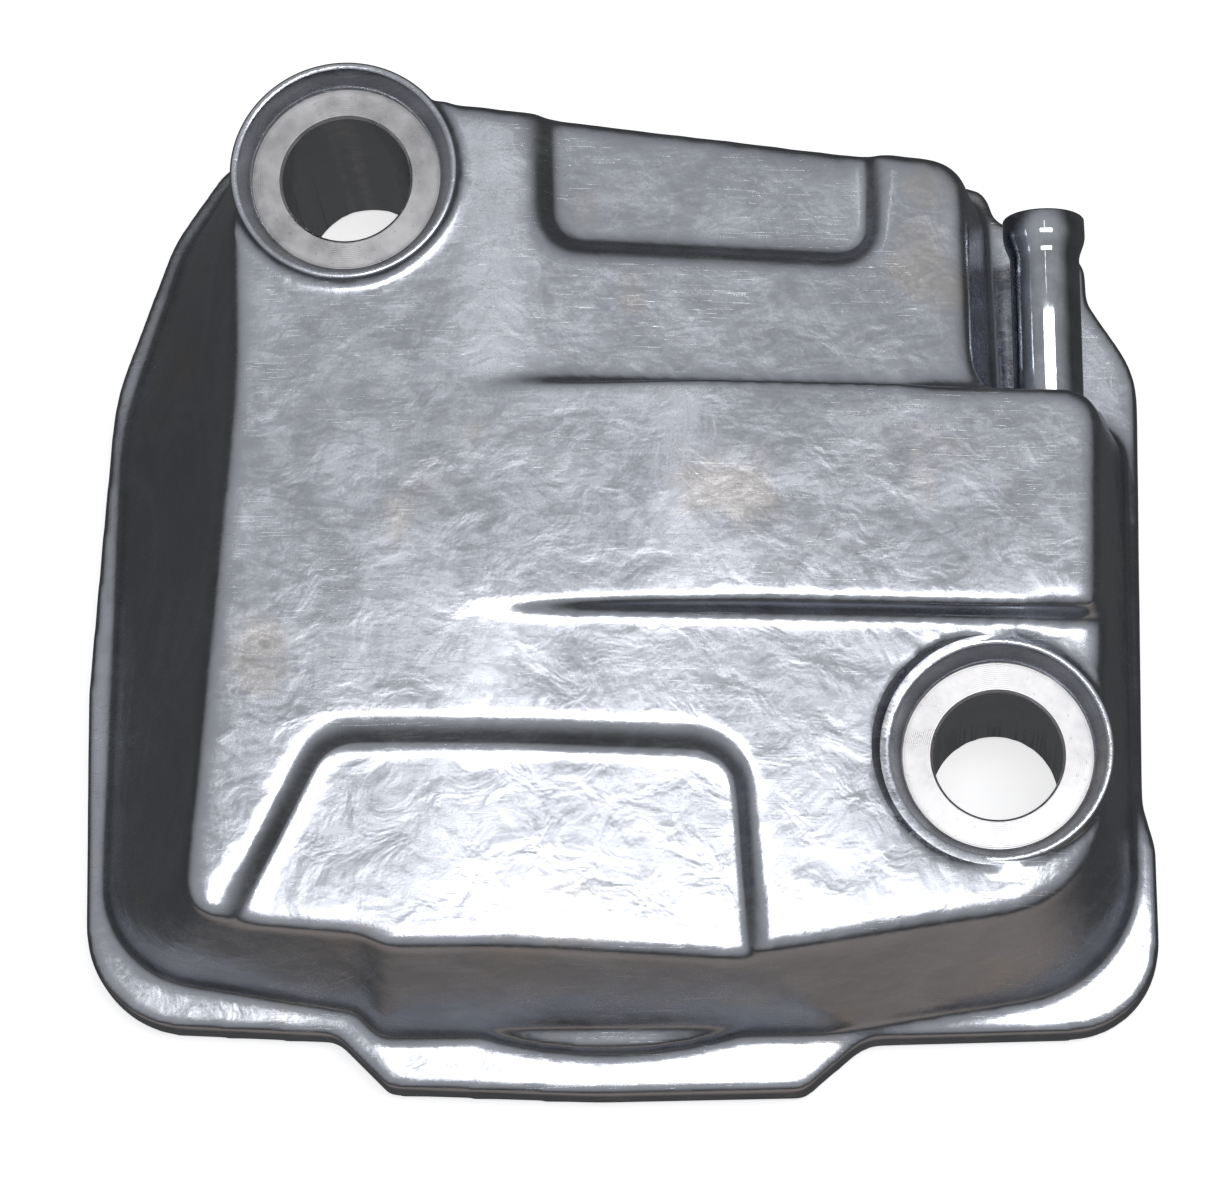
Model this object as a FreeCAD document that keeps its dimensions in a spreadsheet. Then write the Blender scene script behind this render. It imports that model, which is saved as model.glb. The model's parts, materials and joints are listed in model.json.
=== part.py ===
import FreeCAD, Part
import math
import os

import Sketcher
from FreeCAD import Placement, Rotation, Vector

# Cylinder head cover of a small overhead-valve engine, with its breather.
# X runs across the cover, Y towards the end where the breather tube points, Z up.
# The gasket plane is z = 0 and the origin is the centre of the cover's box there.

doc = FreeCAD.newDocument("head_cover")

# ---------------------------------------------------------------- driving sizes (mm, degrees)
DRIVING = {
    # cover body
    "flange_height": 6.0,
    "roof_height": 36.0,
    "wall": 3.0,
    "base_wall": 4.2,
    "roof_thickness": 2.8,
    "slope_angle": 10.0,
    "slope_start": -11.5,
    "band_break": 12.0,
    "band_front": -7.0,
    "band_back": 18.9,
    "recess_depth": 2.4,
    # bolt columns and their seats
    "bolt_bore_radius": 7.3,
    "column_radius": 9.9,
    "seat_radius": 12.15,
    "lip_radius": 12.95,
    "lip_relief": 0.6,
    "collar_radius": 14.8,
    "left_seat_height": 33.7,
    "left_lip_depth": 3.3,
    "left_bolt_x": -28.7,
    "left_bolt_y": 44.05,
    "right_seat_height": 23.0,
    "right_lip_depth": 3.3,
    "right_bolt_x": 43.4,
    "right_bolt_y": -22.4,
    # breather tube
    "tube_radius": 4.0,
    "tube_bore": 3.1,
    "bead_radius": 4.75,
    "tube_x": 50.7,
    "tube_z": 16.0,
    "tube_press_radius": 4.1,
    "tube_root": 14.0,
    "tube_shoulder": 20.6,
    "tube_end": 42.7,
    "boss_radius": 6.4,
    "boss_end": 19.6,
    "boss_length": 3.2,
    "cut_margin": 3.0,
    # bulge at the wall's foot on the front tab
    "pad_x": -0.5,
    "pad_front": -52.1,
    "pad_radius": 53.6,
    "pad_length": 29.0,
    "pad_depth": 3.5,
    "pad_rise": 2.5,
    # seal groove and ring
    "groove_offset": 0.2,
    "groove_width": 2.4,
    "groove_depth": 1.8,
    "seal_gap": 0.1,
    # breather chamber floor
    "chamber_left": -12.0,
    "chamber_right": 52.8,
    "chamber_front": -5.0,
    "chamber_back": 15.2,
    "chamber_corner": 3.4,
    "chamber_wall": 2.5,
    "chamber_foot": 11.0,
    "post_radius": 3.6,
    "floor_gasket_thickness": 0.8,
    "floor_thickness": 1.2,
    "screw_radius": 2.0,
    "screw_hole": 2.25,
    "screw_length": 9.0,
    "screw_head_radius": 3.6,
    "screw_head_height": 2.4,
    "washer_radius": 3.9,
    "washer_thickness": 0.8,
    # reed valve
    "port_radius": 4.0,
    "port_x": 4.0,
    "valve_y": 5.6,
    "reed_hinge_x": 16.0,
    "reed_tip_x": -3.5,
    "reed_root_end": 27.0,
    "reed_width": 12.0,
    "reed_thickness": 0.3,
    "reed_lift_gap": 0.05,
    "reed_open_angle": 10.0,
    "stop_thickness": 1.2,
    "reed_screw_x": 22.0,
    "reed_screw_radius": 1.5,
    "reed_head_radius": 2.8,
    "reed_head_height": 1.8,
    "nut_flats": 5.5,
    "nut_height": 2.4,
    # separator and its holder
    "mesh_left": 34.0,
    "mesh_right": 44.0,
    "mesh_height": 12.0,
    "mesh_side_gap": 1.2,
    "holder_thickness": 0.8,
    "holder_hole_radius": 1.5,
    "holder_hole_pitch": 4.5,
    "rivet_radius": 1.2,
    "rivet_head_radius": 2.2,
    "rivet_head_height": 0.9,
    # splash shield and drain
    "shield_thickness": 0.8,
    "shield_drop": 4.2,
    "drain_x": 48.5,
    "drain_y": 0.0,
    "drain_radius": 2.0,
    "drain_bore": 1.4,
    "drain_length": 7.0,
}

sheet = doc.addObject("Spreadsheet::Sheet", "dims")
for row, (alias, value) in enumerate(DRIVING.items(), start=1):
    sheet.set("A%d" % row, alias)
    sheet.set("B%d" % row, str(value))
    sheet.setAlias("B%d" % row, alias)
doc.recompute()


def dim(alias):
    """The value that the spreadsheet holds for a driving size."""
    return float(sheet.get(alias))


BIG = 200.0
FLOOR_TOP = dim("chamber_foot") - dim("floor_gasket_thickness")
FLOOR_BOTTOM = FLOOR_TOP - dim("floor_thickness")
LEFT_BOLT = (dim("left_bolt_x"), dim("left_bolt_y"))
RIGHT_BOLT = (dim("right_bolt_x"), dim("right_bolt_y"))

# ---------------------------------------------------------------- outlines: corners as (x, y, radius)
FLANGE = [
    (-61.5, -47.4, 12.0), (-32.8, -49.4, 3.0), (-26.8, -55.6, 1.5), (-3.0, -57.0, 60.0),
    (20.6, -57.0, 2.0), (27.8, -51.1, 5.0), (61.5, -50.8, 10.5), (61.5, -29.5, 4.0),
    (60.2, -24.5, 4.0), (61.4, 27.0, 12.0), (55.8, 36.0, 3.0), (55.8, 41.0, 3.0),
    (45.0, 46.6, 2.0), (44.9, 50.2, 3.0), (-27.0, 57.0, 10.0), (-44.5, 57.0, 8.0),
    (-51.8, 46.2, 15.0), (-58.7, 27.0, 28.0), (-61.5, -8.0, 40.0),
]
FOOT = [
    (-59.6, -41.2, 12.0), (-30.3, -46.8, 1.5), (-27.4, -49.8, 1.5), (24.0, -50.5, 30.0),
    (58.8, -45.6, 15.0), (59.6, 20.4, 4.5), (44.6, 20.6, 6.0), (44.2, 48.2, 4.0),
    (-27.0, 55.6, 6.0), (-43.0, 55.6, 8.0), (-50.4, 44.8, 14.0), (-57.6, 23.0, 30.0),
]
TOP = [
    (-46.8, -41.2, 4.0), (-27.0, -43.0, 1.5), (-24.4, -44.3, 1.5), (15.0, -44.9, 30.0),
    (52.0, -35.5, 14.0), (54.7, 18.4, 4.0), (40.5, 18.7, 3.0), (40.3, 46.0, 4.5),
    (-27.0, 53.4, 5.0), (-38.5, 51.5, 5.0), (-41.4, 39.0, 8.0), (-41.0, 20.0, 40.0),
]
BACK_RECESS = [(-5.4, 36.3, 3.4), (30.2, 35.4, 3.4), (31.0, 70.0, 1.0), (-5.6, 70.0, 1.0)]
FRONT_RECESS = [(-44.2, -48.0, 1.0), (16.2, -62.0, 1.0), (14.0, -22.6, 5.0), (-30.9, -21.6, 5.5)]
FLOOR_PLATE = [
    (-18.5, -12.0, 3.0), (54.4, -12.0, 3.0), (54.4, 16.2, 5.0), (41.0, 16.2, 3.0),
    (34.5, 23.0, 3.0), (-18.5, 23.0, 3.0),
]
FLOOR_SCREWS = [(-15.0, -8.5), (18.0, -8.5), (50.5, -8.5), (-15.0, 19.5), (30.0, 19.5)]
SHIELD_RIVETS = [(-8.0, dim("valve_y")), (30.0, dim("valve_y"))]
HOLDER_RIVETS = [(39.0, -1.0), (39.0, 12.2)]


def inset(corners, distance):
    """Corners of the outline moved inwards by a distance (outwards when negative)."""
    moved = []
    count = len(corners)
    for index, (x, y, radius) in enumerate(corners):
        before = Vector(x - corners[index - 1][0], y - corners[index - 1][1], 0).normalize()
        after_corner = corners[(index + 1) % count]
        after = Vector(after_corner[0] - x, after_corner[1] - y, 0).normalize()
        normal_before = Vector(-before.y, before.x, 0)
        normal_after = Vector(-after.y, after.x, 0)
        bisector = normal_before + normal_after
        shift = bisector * (2 * distance / bisector.dot(bisector))
        turns_left = before.cross(after).z > 0
        new_radius = max(radius - distance if turns_left else radius + distance, 0.6)
        moved.append((x + shift.x, y + shift.y, new_radius))
    return moved


def rounded_loop(corners):
    """Lines and tangent arcs round the corners, as Part geometry in the sketch plane."""
    count = len(corners)
    arcs = []
    for index, (x, y, radius) in enumerate(corners):
        corner = Vector(x, y, 0)
        before = Vector(corners[index - 1][0], corners[index - 1][1], 0)
        after = Vector(corners[(index + 1) % count][0], corners[(index + 1) % count][1], 0)
        to_before = (before - corner).normalize()
        to_after = (after - corner).normalize()
        half_angle = to_before.getAngle(to_after) / 2
        reach = radius / math.tan(half_angle)
        middle_way = (to_before + to_after).normalize()
        centre = corner + middle_way * (radius / math.sin(half_angle))
        middle = centre - middle_way * radius
        arcs.append((corner + to_before * reach, middle, corner + to_after * reach))
    geometry = []
    for index, (start, middle, end) in enumerate(arcs):
        geometry.append(Part.Arc(start, middle, end))
        geometry.append(Part.LineSegment(end, arcs[(index + 1) % count][0]))
    return geometry


def polygon_loop(points):
    """Straight segments through the points and back to the first."""
    vectors = [Vector(x, y, 0) for x, y in points]
    return [Part.LineSegment(a, b) for a, b in zip(vectors, vectors[1:] + vectors[:1])]


def plane_sketch(name, geometry, placement):
    """A free sketch on the given placement."""
    sketch = doc.addObject("Sketcher::SketchObject", name)
    sketch.Placement = placement
    sketch.addGeometry(geometry, False)
    return sketch


def level(height):
    """Placement of a horizontal sketch at a height."""
    return Placement(Vector(0, 0, height), Rotation())


def upright(y):
    """Placement of a sketch whose axes are X and Z, at a Y."""
    return Placement(Vector(0, y, 0), Rotation(Vector(1, 0, 0), 90))


def extrude(name, sketch, direction, length):
    """A solid swept from a sketch along a direction; the length may be an expression."""
    solid = doc.addObject("Part::Extrusion", name)
    solid.Base = sketch
    solid.DirMode = "Custom"
    solid.Dir = direction
    solid.Solid = True
    if isinstance(length, str):
        solid.setExpression("LengthFwd", length)
    else:
        solid.LengthFwd = length
    return solid


def combine(kind, name, *objects):
    """A Part boolean: Cut of two objects, or MultiFuse or MultiCommon of several."""
    result = doc.addObject("Part::" + kind, name)
    if kind == "Cut":
        result.Base, result.Tool = objects
    else:
        result.Shapes = list(objects)
    return result


def cylinder(name, radius, height, place):
    """A Part::Cylinder whose radius and height are bound to expressions."""
    solid = doc.addObject("Part::Cylinder", name)
    solid.setExpression("Radius", radius)
    solid.setExpression("Height", height)
    solid.Placement = place
    return solid


def at(x, y, z, rotation=None):
    """Placement at a point, with an optional rotation."""
    return Placement(Vector(x, y, z), rotation or Rotation())


ALONG_MINUS_Y = Rotation(Vector(1, 0, 0), 90)


# ---------------------------------------------------------------- cover casting
def roof_profile(break_x, drop):
    """Side outline under a roof that is flat up to break_x and then slopes down to the right."""
    top = dim("roof_height") - drop
    fall = (BIG - break_x) * math.tan(math.radians(dim("slope_angle")))
    return [(-BIG, -BIG), (BIG, -BIG), (BIG, top - fall), (break_x, top), (-BIG, top)]


def roof_prism(name, break_x, drop, front, back):
    """Everything under one roof, between two Y planes."""
    sketch = plane_sketch(name + "_sketch", polygon_loop(roof_profile(break_x, drop)), upright(back))
    return extrude(name, sketch, Vector(0, -1, 0), back - front)


def recess_cutter(name, corners, margin, drop):
    """What a roof recess takes away: its plan outline above the lowered roof."""
    outline = plane_sketch(name + "_sketch", rounded_loop(inset(corners, -margin)), level(0))
    column = extrude(name + "_column", outline, Vector(0, 0, 1), BIG)
    kept = roof_prism(name + "_kept", dim("slope_start"), drop + dim("recess_depth"), -BIG, BIG)
    return combine("Cut", name, column, kept)


def core(name, margin, drop):
    """The cover's body as a solid, its walls moved in by margin and its roof down by drop."""
    foot = plane_sketch(name + "_foot", rounded_loop(inset(FOOT, margin)), level(dim("flange_height")))
    top = plane_sketch(name + "_top", rounded_loop(inset(TOP, margin)), level(dim("roof_height")))
    walls = doc.addObject("Part::Loft", name + "_walls")
    walls.Sections = [foot, top]
    walls.Solid = True
    walls.Ruled = True
    main_roof = roof_prism(name + "_roof", dim("slope_start"), drop, -BIG, BIG)
    band_front = dim("band_front") + margin
    band_back = dim("band_back") - margin
    band_roof = roof_prism(name + "_band", dim("band_break"), drop, band_front, band_back)
    roofs = combine("MultiFuse", name + "_roofs", main_roof, band_roof)
    body = combine("MultiCommon", name + "_body", walls, roofs)
    back = recess_cutter(name + "_back_recess", BACK_RECESS, margin, drop)
    front = recess_cutter(name + "_front_recess", FRONT_RECESS, margin, drop)
    recesses = combine("MultiFuse", name + "_recesses", back, front)
    return combine("Cut", name, body, recesses)


def bolt_column(side, centre, outer):
    """A bolt column with its wider seat boss on top, and a collar under the roof."""
    seat = "dims.%s_seat_height" % side
    boss_bottom = dim(side + "_seat_height") - dim("wall")
    stem = cylinder(side + "_stem", "dims.column_radius", seat, at(*centre, 0))
    boss = cylinder(side + "_boss", "dims.lip_radius", "dims.%s_lip_depth + dims.wall" % side,
                    at(*centre, boss_bottom))
    collar = cylinder(side + "_collar", "dims.collar_radius", "dims.roof_height",
                      at(*centre, boss_bottom))
    under_roof = combine("MultiCommon", side + "_under_roof", collar, outer)
    return combine("MultiFuse", side + "_column", stem, boss, under_roof)


def bolt_cut(side, centre):
    """The bolt bore, the seat pocket above it and the clearance round the lip."""
    seat_height = dim(side + "_seat_height")
    bore = cylinder(side + "_bore", "dims.bolt_bore_radius", "dims.roof_height + 2 * dims.cut_margin",
                    at(*centre, -dim("cut_margin")))
    pocket = cylinder(side + "_pocket", "dims.seat_radius", "dims.roof_height", at(*centre, seat_height))
    relief = cylinder(side + "_relief", "dims.lip_radius + dims.lip_relief", "dims.roof_height",
                      at(*centre, seat_height + dim(side + "_lip_depth")))
    return combine("MultiFuse", side + "_cut", bore, pocket, relief)


def ring_prism(name, outer, inner, bottom, height):
    """A closed ring between two outlines, standing on a level."""
    rims = []
    for side, corners in (("outer", outer), ("inner", inner)):
        sketch = plane_sketch("%s_%s" % (name, side), rounded_loop(corners), level(bottom))
        rims.append(extrude("%s_%s_solid" % (name, side), sketch, Vector(0, 0, 1), height))
    return combine("Cut", name, *rims)


def box_outline(left, front, right, back, radius):
    """Corners of a rectangle with one corner radius."""
    return [(left, front, radius), (right, front, radius), (right, back, radius), (left, back, radius)]


def chamber_opening():
    """Outline of the hollow inside the chamber walls."""
    return box_outline(dim("chamber_left"), dim("chamber_front"),
                       dim("chamber_right"), dim("chamber_back"), dim("chamber_corner"))


def chamber_walls():
    """Walls of the breather chamber and the posts that its floor is screwed to."""
    foot = dim("chamber_foot")
    ring = ring_prism("chamber_ring", inset(chamber_opening(), -dim("chamber_wall")),
                      chamber_opening(), foot, "dims.roof_height")
    posts = []
    for index, (x, y) in enumerate(FLOOR_SCREWS):
        posts.append(cylinder("chamber_post_%d" % index, "dims.post_radius", "dims.roof_height",
                              at(x, y, foot)))
    return combine("MultiFuse", "chamber_walls", ring, *posts)


def foot_pad():
    """The low bulge at the wall's foot, in the middle of the front tab."""
    round_pad = cylinder("foot_pad_round", "dims.pad_radius", "dims.flange_height + dims.pad_rise",
                         at(dim("pad_x"), dim("pad_front") + dim("pad_radius"), 0))
    limits = doc.addObject("Part::Box", "foot_pad_limits")
    limits.setExpression("Length", "dims.pad_length")
    limits.setExpression("Width", "dims.pad_length")
    limits.setExpression("Height", "dims.flange_height + dims.pad_rise")
    limits.Placement = at(dim("pad_x") - dim("pad_length") / 2, dim("pad_front"), 0)
    front_strip = doc.addObject("Part::Box", "foot_pad_depth")
    front_strip.setExpression("Length", "dims.pad_length")
    front_strip.setExpression("Width", "dims.pad_depth")
    front_strip.setExpression("Height", "dims.flange_height + dims.pad_rise")
    front_strip.Placement = limits.Placement
    return combine("MultiCommon", "foot_pad", round_pad, limits, front_strip)


def seal_ring(name, gap):
    """The gasket's ring on the gasket plane; a gap makes it narrower and lower than its groove."""
    outer = inset(FOOT, dim("groove_offset") + gap)
    inner = inset(FOOT, dim("groove_offset") + dim("groove_width") - gap)
    return ring_prism(name, outer, inner, 0, dim("groove_depth") - gap)


def cover_casting():
    """Die-cast cover: hollow body, flange, bolt columns, chamber walls and tube boss."""
    outer = core("outer", 0.0, 0.0)
    inner = core("inner", dim("wall"), dim("roof_thickness"))
    flange_sketch = plane_sketch("flange_sketch", rounded_loop(FLANGE), level(0))
    flange = extrude("flange", flange_sketch, Vector(0, 0, 1), "dims.flange_height")
    outside = combine("MultiFuse", "outside", outer, flange, foot_pad())
    base_sketch = plane_sketch("base_sketch", rounded_loop(inset(FOOT, dim("base_wall"))), level(-1))
    base_hollow = extrude("base_hollow", base_sketch, Vector(0, 0, 1), "dims.flange_height + 1")
    shell = combine("Cut", "shell", outside, combine("MultiFuse", "hollow", inner, base_hollow))
    walls_inside = combine("MultiCommon", "walls_inside", chamber_walls(), outer)
    boss = cylinder("tube_boss", "dims.boss_radius", "dims.boss_length",
                    at(dim("tube_x"), dim("boss_end"), dim("tube_z"), ALONG_MINUS_Y))
    left = bolt_column("left", LEFT_BOLT, outer)
    right = bolt_column("right", RIGHT_BOLT, outer)
    solid = combine("MultiFuse", "casting_solid", shell, walls_inside, boss, left, right)
    cuts = [
        bolt_cut("left", LEFT_BOLT),
        bolt_cut("right", RIGHT_BOLT),
        cylinder("tube_hole", "dims.tube_press_radius", "dims.boss_length + 2 * dims.cut_margin",
                 at(dim("tube_x"), dim("boss_end") + dim("cut_margin"), dim("tube_z"), ALONG_MINUS_Y)),
        seal_ring("seal_groove", 0.0),
    ]
    for index, (x, y) in enumerate(FLOOR_SCREWS):
        cuts.append(cylinder("tapped_hole_%d" % index, "dims.screw_radius", "dims.screw_length + 1",
                             at(x, y, dim("chamber_foot") - 1)))
    tools = combine("MultiFuse", "casting_cuts", *cuts)
    casting = combine("Cut", "casting", solid, tools)
    casting.Label = "cover_casting"
    return casting


def cover_gasket():
    """Moulded rubber ring that fills the groove in the gasket plane."""
    gasket = seal_ring("gasket_ring", dim("seal_gap"))
    gasket.Label = "cover_gasket"
    return gasket


# ---------------------------------------------------------------- small parts as PartDesign bodies
def new_body(name):
    """An empty body whose label names the part."""
    body = doc.addObject("PartDesign::Body", name + "_body")
    body.Label = name
    return body


def origin_plane(body, role):
    """One of the body's own origin planes."""
    return next(plane for plane in body.Origin.OriginFeatures if plane.Role == role)


def body_sketch(body, name, role, offset, geometry):
    """A sketch on one of the body's origin planes, moved along the plane's normal."""
    sketch = body.newObject("Sketcher::SketchObject", name)
    sketch.AttachmentSupport = [(origin_plane(body, role), "")]
    sketch.MapMode = "FlatFace"
    sketch.AttachmentOffset = Placement(Vector(0, 0, offset), Rotation())
    sketch.addGeometry(geometry, False)
    return sketch


def circle(x, y, radius):
    """A circle in a sketch plane."""
    return Part.Circle(Vector(x, y, 0), Vector(0, 0, 1), radius)


def bind_radius(sketch, index, expression):
    """Ties a circle's radius to the sheet."""
    constraint = sketch.addConstraint(Sketcher.Constraint("Radius", index, sketch.Geometry[index].Radius))
    sketch.setExpression("Constraints[%d]" % constraint, expression)


def pad(body, sketch, name, length, reverse=False):
    """Adds material from a sketch; the length is an expression."""
    feature = body.newObject("PartDesign::Pad", name)
    feature.Profile = sketch
    feature.Reversed = reverse
    feature.setExpression("Length", length)
    sketch.Visibility = False
    return feature


def pocket_through(body, sketch, name):
    """Cuts a sketch through everything, both ways."""
    feature = body.newObject("PartDesign::Pocket", name)
    feature.Profile = sketch
    feature.Type = "ThroughAll"
    feature.Midplane = True
    return feature


def revolve(body, sketch, name, axis="V_Axis"):
    """Revolves a half section about a sketch axis."""
    feature = body.newObject("PartDesign::Revolution", name)
    feature.Profile = sketch
    feature.ReferenceAxis = (sketch, [axis])
    feature.Angle = 360
    return feature


def breather_tube():
    """Steel tube pressed into the boss, with a bead that holds the hose."""
    body = new_body("breather_tube")
    bore = dim("tube_bore")
    radius = dim("tube_radius")
    bead = dim("bead_radius")
    root = dim("tube_root")
    end = dim("tube_end")
    press = dim("tube_press_radius")
    shoulder = dim("tube_shoulder")
    section = [
        (bore, root), (press, root), (press, shoulder), (radius, shoulder),
        (radius, end - 4.6), (radius + 0.3, end - 3.6), (bead, end - 2.4),
        (bead, end - 1.4), (bead - 0.35, end - 0.4), (bead - 0.8, end), (bore + 0.3, end),
        (bore, end - 1.0),
    ]
    sketch = body_sketch(body, "tube_section", "XY_Plane", 0, polygon_loop(section))
    revolve(body, sketch, "tube_revolution")
    body.Placement = at(dim("tube_x"), 0, dim("tube_z"))
    return body


def floor_plate():
    """Pressed steel floor of the breather chamber."""
    body = new_body("floor_plate")
    outline = body_sketch(body, "floor_outline", "XY_Plane", FLOOR_BOTTOM, rounded_loop(FLOOR_PLATE))
    pad(body, outline, "floor_pad", "dims.floor_thickness")
    holes = [
        (dim("port_x"), dim("valve_y"), "dims.port_radius"),
        (dim("reed_screw_x"), dim("valve_y"), "dims.reed_screw_radius"),
        (dim("drain_x"), dim("drain_y"), "dims.drain_radius"),
    ]
    holes += [(x, y, "dims.screw_hole") for x, y in FLOOR_SCREWS]
    holes += [(x, y, "dims.rivet_radius") for x, y in SHIELD_RIVETS + HOLDER_RIVETS]
    cut_holes(body, "floor_holes", FLOOR_BOTTOM, holes)
    return body


def cut_holes(body, name, height, holes):
    """Round through holes given as (x, y, radius expression)."""
    circles = [circle(x, y, dim(radius.split(".")[1])) for x, y, radius in holes]
    sketch = body_sketch(body, name + "_sketch", "XY_Plane", height, circles)
    for index, (_, _, radius) in enumerate(holes):
        bind_radius(sketch, index, radius)
    pocket_through(body, sketch, name)


def floor_gasket():
    """Flat gasket between the floor plate and the chamber walls."""
    body = new_body("floor_gasket")
    outline = body_sketch(body, "floor_gasket_outline", "XY_Plane", FLOOR_TOP, rounded_loop(FLOOR_PLATE))
    pad(body, outline, "floor_gasket_pad", "dims.floor_gasket_thickness")
    opening = body_sketch(body, "floor_gasket_opening", "XY_Plane", FLOOR_TOP,
                          rounded_loop(chamber_opening()))
    pocket_through(body, opening, "floor_gasket_window")
    cut_holes(body, "floor_gasket_holes", FLOOR_TOP, [(x, y, "dims.screw_hole") for x, y in FLOOR_SCREWS])
    return body


def group(name, solids):
    """Separate equal solids that share one node."""
    compound = doc.addObject("Part::Compound", name + "_group")
    compound.Links = solids
    compound.Label = name
    return compound


def floor_screws():
    """Cross-head screws that hold the floor plate up against the posts."""
    head_top = FLOOR_BOTTOM - dim("washer_thickness")
    head_bottom = head_top - dim("screw_head_height")
    screws = []
    for index, (x, y) in enumerate(FLOOR_SCREWS):
        name = "floor_screw_%d" % index
        shank = cylinder(name + "_shank", "dims.screw_radius",
                         "dims.screw_length + dims.floor_thickness + dims.washer_thickness",
                         at(x, y, head_top))
        head = cylinder(name + "_head", "dims.screw_head_radius", "dims.screw_head_height",
                        at(x, y, head_bottom))
        whole = combine("MultiFuse", name + "_whole", shank, head)
        slots = []
        for slot_index, angle in enumerate((0, 90)):
            slot = doc.addObject("Part::Box", "%s_slot_%d" % (name, slot_index))
            slot.setExpression("Length", "dims.screw_head_radius * 1.2")
            slot.setExpression("Width", "dims.screw_radius * 0.45")
            slot.setExpression("Height", "dims.screw_head_height * 0.6")
            half = Vector(dim("screw_head_radius") * 0.6, dim("screw_radius") * 0.225, 0)
            turn = Rotation(Vector(0, 0, 1), angle)
            slot.Placement = Placement(Vector(x, y, head_bottom) - turn.multVec(half), turn)
            slots.append(slot)
        cross = combine("MultiFuse", name + "_cross", *slots)
        screws.append(combine("Cut", name, whole, cross))
    return group("floor_screws", screws)


def floor_washers():
    """Plain washers under the floor screws' heads."""
    bottom = FLOOR_BOTTOM - dim("washer_thickness")
    washers = []
    for index, (x, y) in enumerate(FLOOR_SCREWS):
        name = "floor_washer_%d" % index
        disc = cylinder(name + "_disc", "dims.washer_radius", "dims.washer_thickness", at(x, y, bottom))
        hole = cylinder(name + "_hole", "dims.screw_hole", "dims.washer_thickness", at(x, y, bottom))
        washers.append(combine("Cut", name, disc, hole))
    return group("floor_washers", washers)


def reed_petal():
    """Free part of the reed: it lifts off the port when the crankcase breathes out."""
    body = new_body("reed_petal")
    half = dim("reed_width") / 2
    tip = dim("reed_tip_x")
    corners = [
        (tip, dim("valve_y") - half, half * 0.95), (dim("reed_hinge_x"), dim("valve_y") - half, 0.3),
        (dim("reed_hinge_x"), dim("valve_y") + half, 0.3), (tip, dim("valve_y") + half, half * 0.95),
    ]
    bottom = FLOOR_TOP + dim("reed_lift_gap")
    sketch = body_sketch(body, "petal_outline", "XY_Plane", bottom, rounded_loop(corners))
    pad(body, sketch, "petal_pad", "dims.reed_thickness")
    return body


def reed_root():
    """Clamped part of the reed, under the stop."""
    body = new_body("reed_root")
    half = dim("reed_width") / 2
    corners = box_outline(dim("reed_hinge_x") + 0.1, dim("valve_y") - half,
                          dim("reed_root_end"), dim("valve_y") + half, 0.5)
    sketch = body_sketch(body, "root_outline", "XY_Plane", FLOOR_TOP, rounded_loop(corners))
    pad(body, sketch, "root_pad", "dims.reed_thickness")
    cut_holes(body, "root_hole", FLOOR_TOP,
              [(dim("reed_screw_x"), dim("valve_y"), "dims.reed_screw_radius")])
    return body


def reed_stop():
    """Bent strip that clamps the reed and limits how far the petal opens."""
    body = new_body("reed_stop")
    low = FLOOR_TOP + dim("reed_thickness")
    thick = dim("stop_thickness")
    bend = dim("reed_hinge_x") + 1.0
    rise = math.tan(math.radians(dim("reed_open_angle") + 2.0))
    tip = dim("reed_tip_x")
    tip_low = low + 0.25 + (bend - tip) * rise
    side = [
        (dim("reed_root_end"), low), (bend, low), (bend - 0.5, low + 0.25), (tip, tip_low),
        (tip, tip_low + thick), (bend - 0.5, low + 0.25 + thick), (bend, low + thick),
        (dim("reed_root_end"), low + thick),
    ]
    sketch = body_sketch(body, "stop_side", "XZ_Plane", 0, polygon_loop(side))
    feature = pad(body, sketch, "stop_pad", "dims.reed_width - 2")
    feature.Midplane = True
    cut_holes(body, "stop_hole", low, [(dim("reed_screw_x"), 0, "dims.reed_screw_radius")])
    body.Placement = at(0, dim("valve_y"), 0)
    return body


def reed_screw():
    """Small pan-head screw through the stop, the reed and the floor."""
    body = new_body("reed_screw")
    radius = dim("reed_screw_radius")
    head = dim("reed_head_radius")
    seat = FLOOR_TOP + dim("reed_thickness") + dim("stop_thickness")
    end = FLOOR_BOTTOM - dim("nut_height") - 0.6
    top = seat + dim("reed_head_height")
    section = [(0, end), (radius - 0.2, end), (radius, end + 0.3), (radius, seat), (head, seat),
               (head, top - 0.7), (head - 0.8, top), (0, top)]
    sketch = body_sketch(body, "reed_screw_section", "XZ_Plane", 0, polygon_loop(section))
    revolve(body, sketch, "reed_screw_turned")
    slot = body_sketch(body, "reed_screw_slot", "XZ_Plane", 0,
                       polygon_loop([(-0.4, top - 0.8), (0.4, top - 0.8), (0.4, top + 1), (-0.4, top + 1)]))
    pocket_through(body, slot, "reed_screw_slot_cut")
    body.Placement = at(dim("reed_screw_x"), dim("valve_y"), 0)
    return body


def reed_nut():
    """Hexagon nut under the floor plate."""
    body = new_body("reed_nut")
    corner = dim("nut_flats") / math.sqrt(3)
    hexagon = [(corner * math.cos(math.radians(60 * k)), corner * math.sin(math.radians(60 * k)))
               for k in range(6)]
    bottom = FLOOR_BOTTOM - dim("nut_height")
    sketch = body_sketch(body, "nut_outline", "XY_Plane", bottom, polygon_loop(hexagon))
    pad(body, sketch, "nut_pad", "dims.nut_height")
    cut_holes(body, "nut_hole", bottom, [(0, 0, "dims.reed_screw_radius")])
    body.Placement = at(dim("reed_screw_x"), dim("valve_y"), 0)
    return body


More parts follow.
